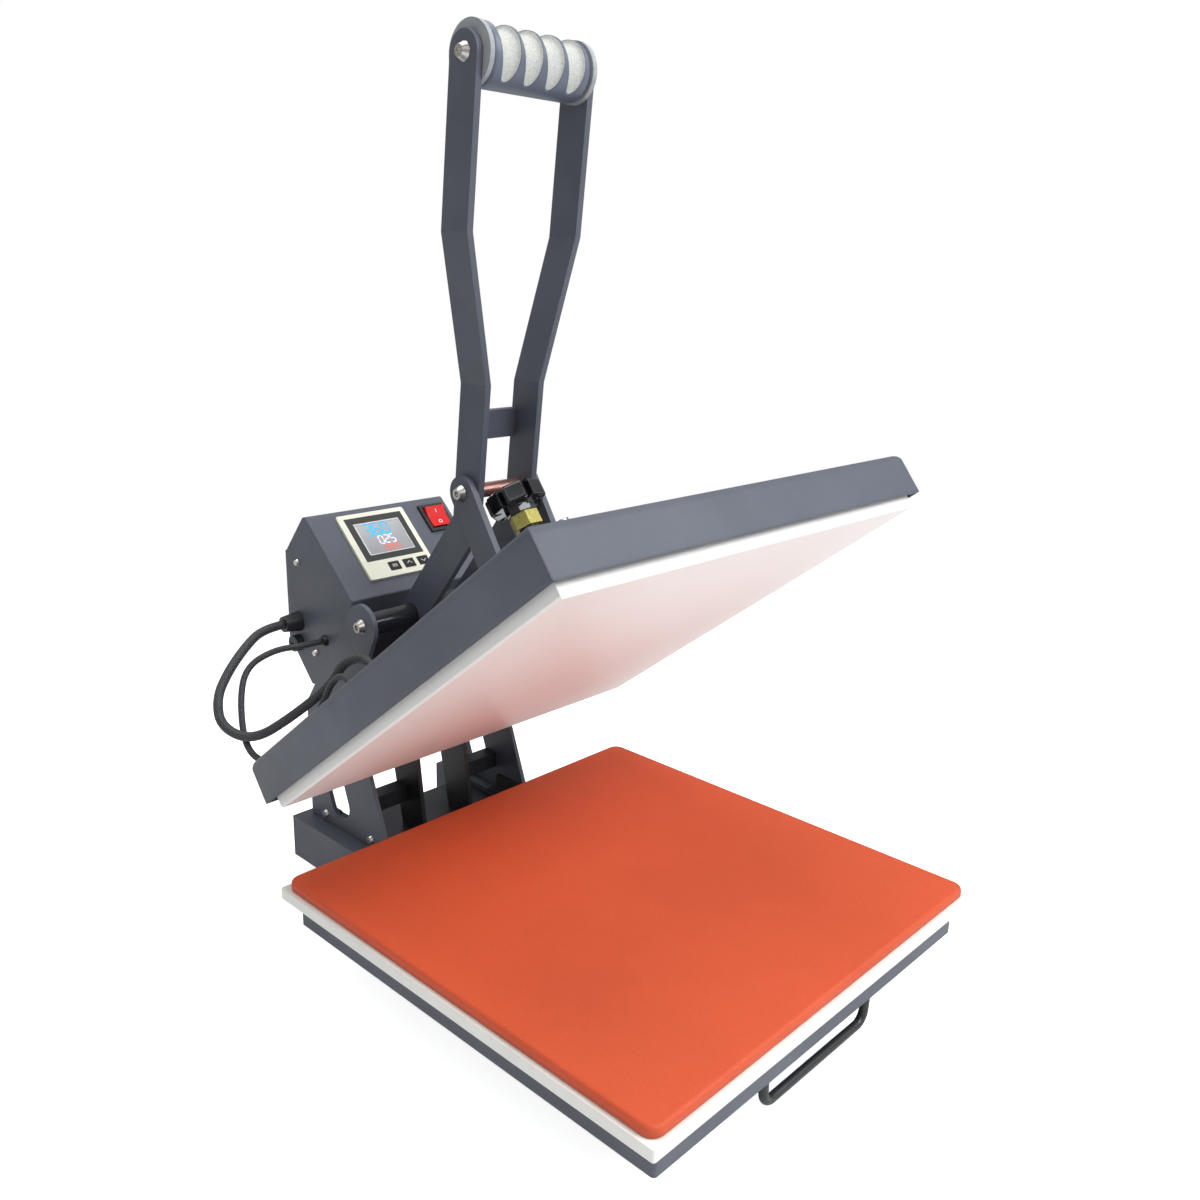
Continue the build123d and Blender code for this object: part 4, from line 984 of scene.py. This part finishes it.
class PRESS_OT_rocker(bpy.types.Operator):
    """Finish the red rocker and put its two marks on"""

    bl_idname = "press.rocker"
    bl_label = "Rocker switch"

    def execute(self, context):
        coats = context.scene.press_coats
        red = surface(
            "rocker_red", tuple(coats.rocker), tuple(0.8 * c for c in coats.rocker), rough=0.18, spread=0.04,
            grain=600.0, depth=0.00001, patch=60.0, rounding=0.0009, coat=0.5, fine=0.08, edge=0.1,
            subsurface=0.05,
        )
        dress(red, "power_rocker")
        mark = surface(
            "rocker_mark", (0.86, 0.86, 0.86), (0.75, 0.75, 0.75), rough=0.35, patch=200.0, rounding=0.0001,
        )
        tilt = math.radians(8)
        origin = PANEL_ORIGIN + Vector((0.0555, 0, 0)) - PANEL_Y * 0.0255
        half = 0.0104
        for name, way, shape in (("mark_on", 1, "bar"), ("mark_off", -1, "ring")):
            rise = math.atan2(0.0018, half)
            lean = tilt + way * rise
            up = PANEL_Y * math.cos(lean) + PANEL_Z * math.sin(lean)
            normal = Vector((1, 0, 0)).cross(up)
            base = origin + (PANEL_Y * -math.sin(tilt) + PANEL_Z * math.cos(tilt)) * 0.0034
            middle = base + up * way * 0.0058
            if shape == "bar":
                outlines = [[(-0.0004, -0.0018), (0.0004, -0.0018), (0.0004, 0.0018), (-0.0004, 0.0018)]]
            else:
                outlines = []
                for k in range(20):
                    a, b = math.tau * k / 20, math.tau * (k + 1) / 20
                    outlines.append([
                        (r * math.cos(t), r * math.sin(t))
                        for r, t in ((0.0013, a), (0.0020, a), (0.0020, b), (0.0013, b))
                    ])
            mesh = plates(name, outlines, middle, Vector((1, 0, 0)), up, 0.00003, 0.00016)
            piece(name, mesh, mark, "rocker")
            if normal.z < 0:
                raise ValueError("the rocker's marks face into it")
        return {"FINISHED"}


OPERATORS = (
    PRESS_OT_camera,
    PRESS_OT_stage,
    PRESS_OT_leads,
    PRESS_OT_coats,
    PRESS_OT_metals,
    PRESS_OT_thread,
    PRESS_OT_bed,
    PRESS_OT_mouldings,
    PRESS_OT_grip,
    PRESS_OT_controller,
    PRESS_OT_rocker,
)


class PRESS_PT_panel(bpy.types.Panel):
    """Lists the press's pieces and their settings"""

    bl_idname = "PRESS_PT_panel"
    bl_label = "Heat press"
    bl_space_type = "VIEW_3D"
    bl_region_type = "UI"
    bl_category = "Press"

    def draw(self, context):
        for operator in OPERATORS:
            self.layout.operator(operator.bl_idname)
        for group in (context.scene.press_coats, context.scene.press_sizes):
            for name in group.__annotations__:
                self.layout.prop(group, name)


CLASSES = (PressCoats, PressSizes, *OPERATORS, PRESS_PT_panel)


def register():
    for entry in CLASSES:
        bpy.utils.register_class(entry)
    bpy.types.Scene.press_coats = bpy.props.PointerProperty(type=PressCoats)
    bpy.types.Scene.press_sizes = bpy.props.PointerProperty(type=PressSizes)


def unregister():
    del bpy.types.Scene.press_sizes
    del bpy.types.Scene.press_coats
    for entry in reversed(CLASSES):
        bpy.utils.unregister_class(entry)


def main():
    for leftover in list(bpy.data.objects):
        bpy.data.objects.remove(leftover)
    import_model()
    register()
    for operator in OPERATORS:
        group, name = operator.bl_idname.split(".")
        getattr(getattr(bpy.ops, group), name)()


if __name__ == "__main__":
    main()
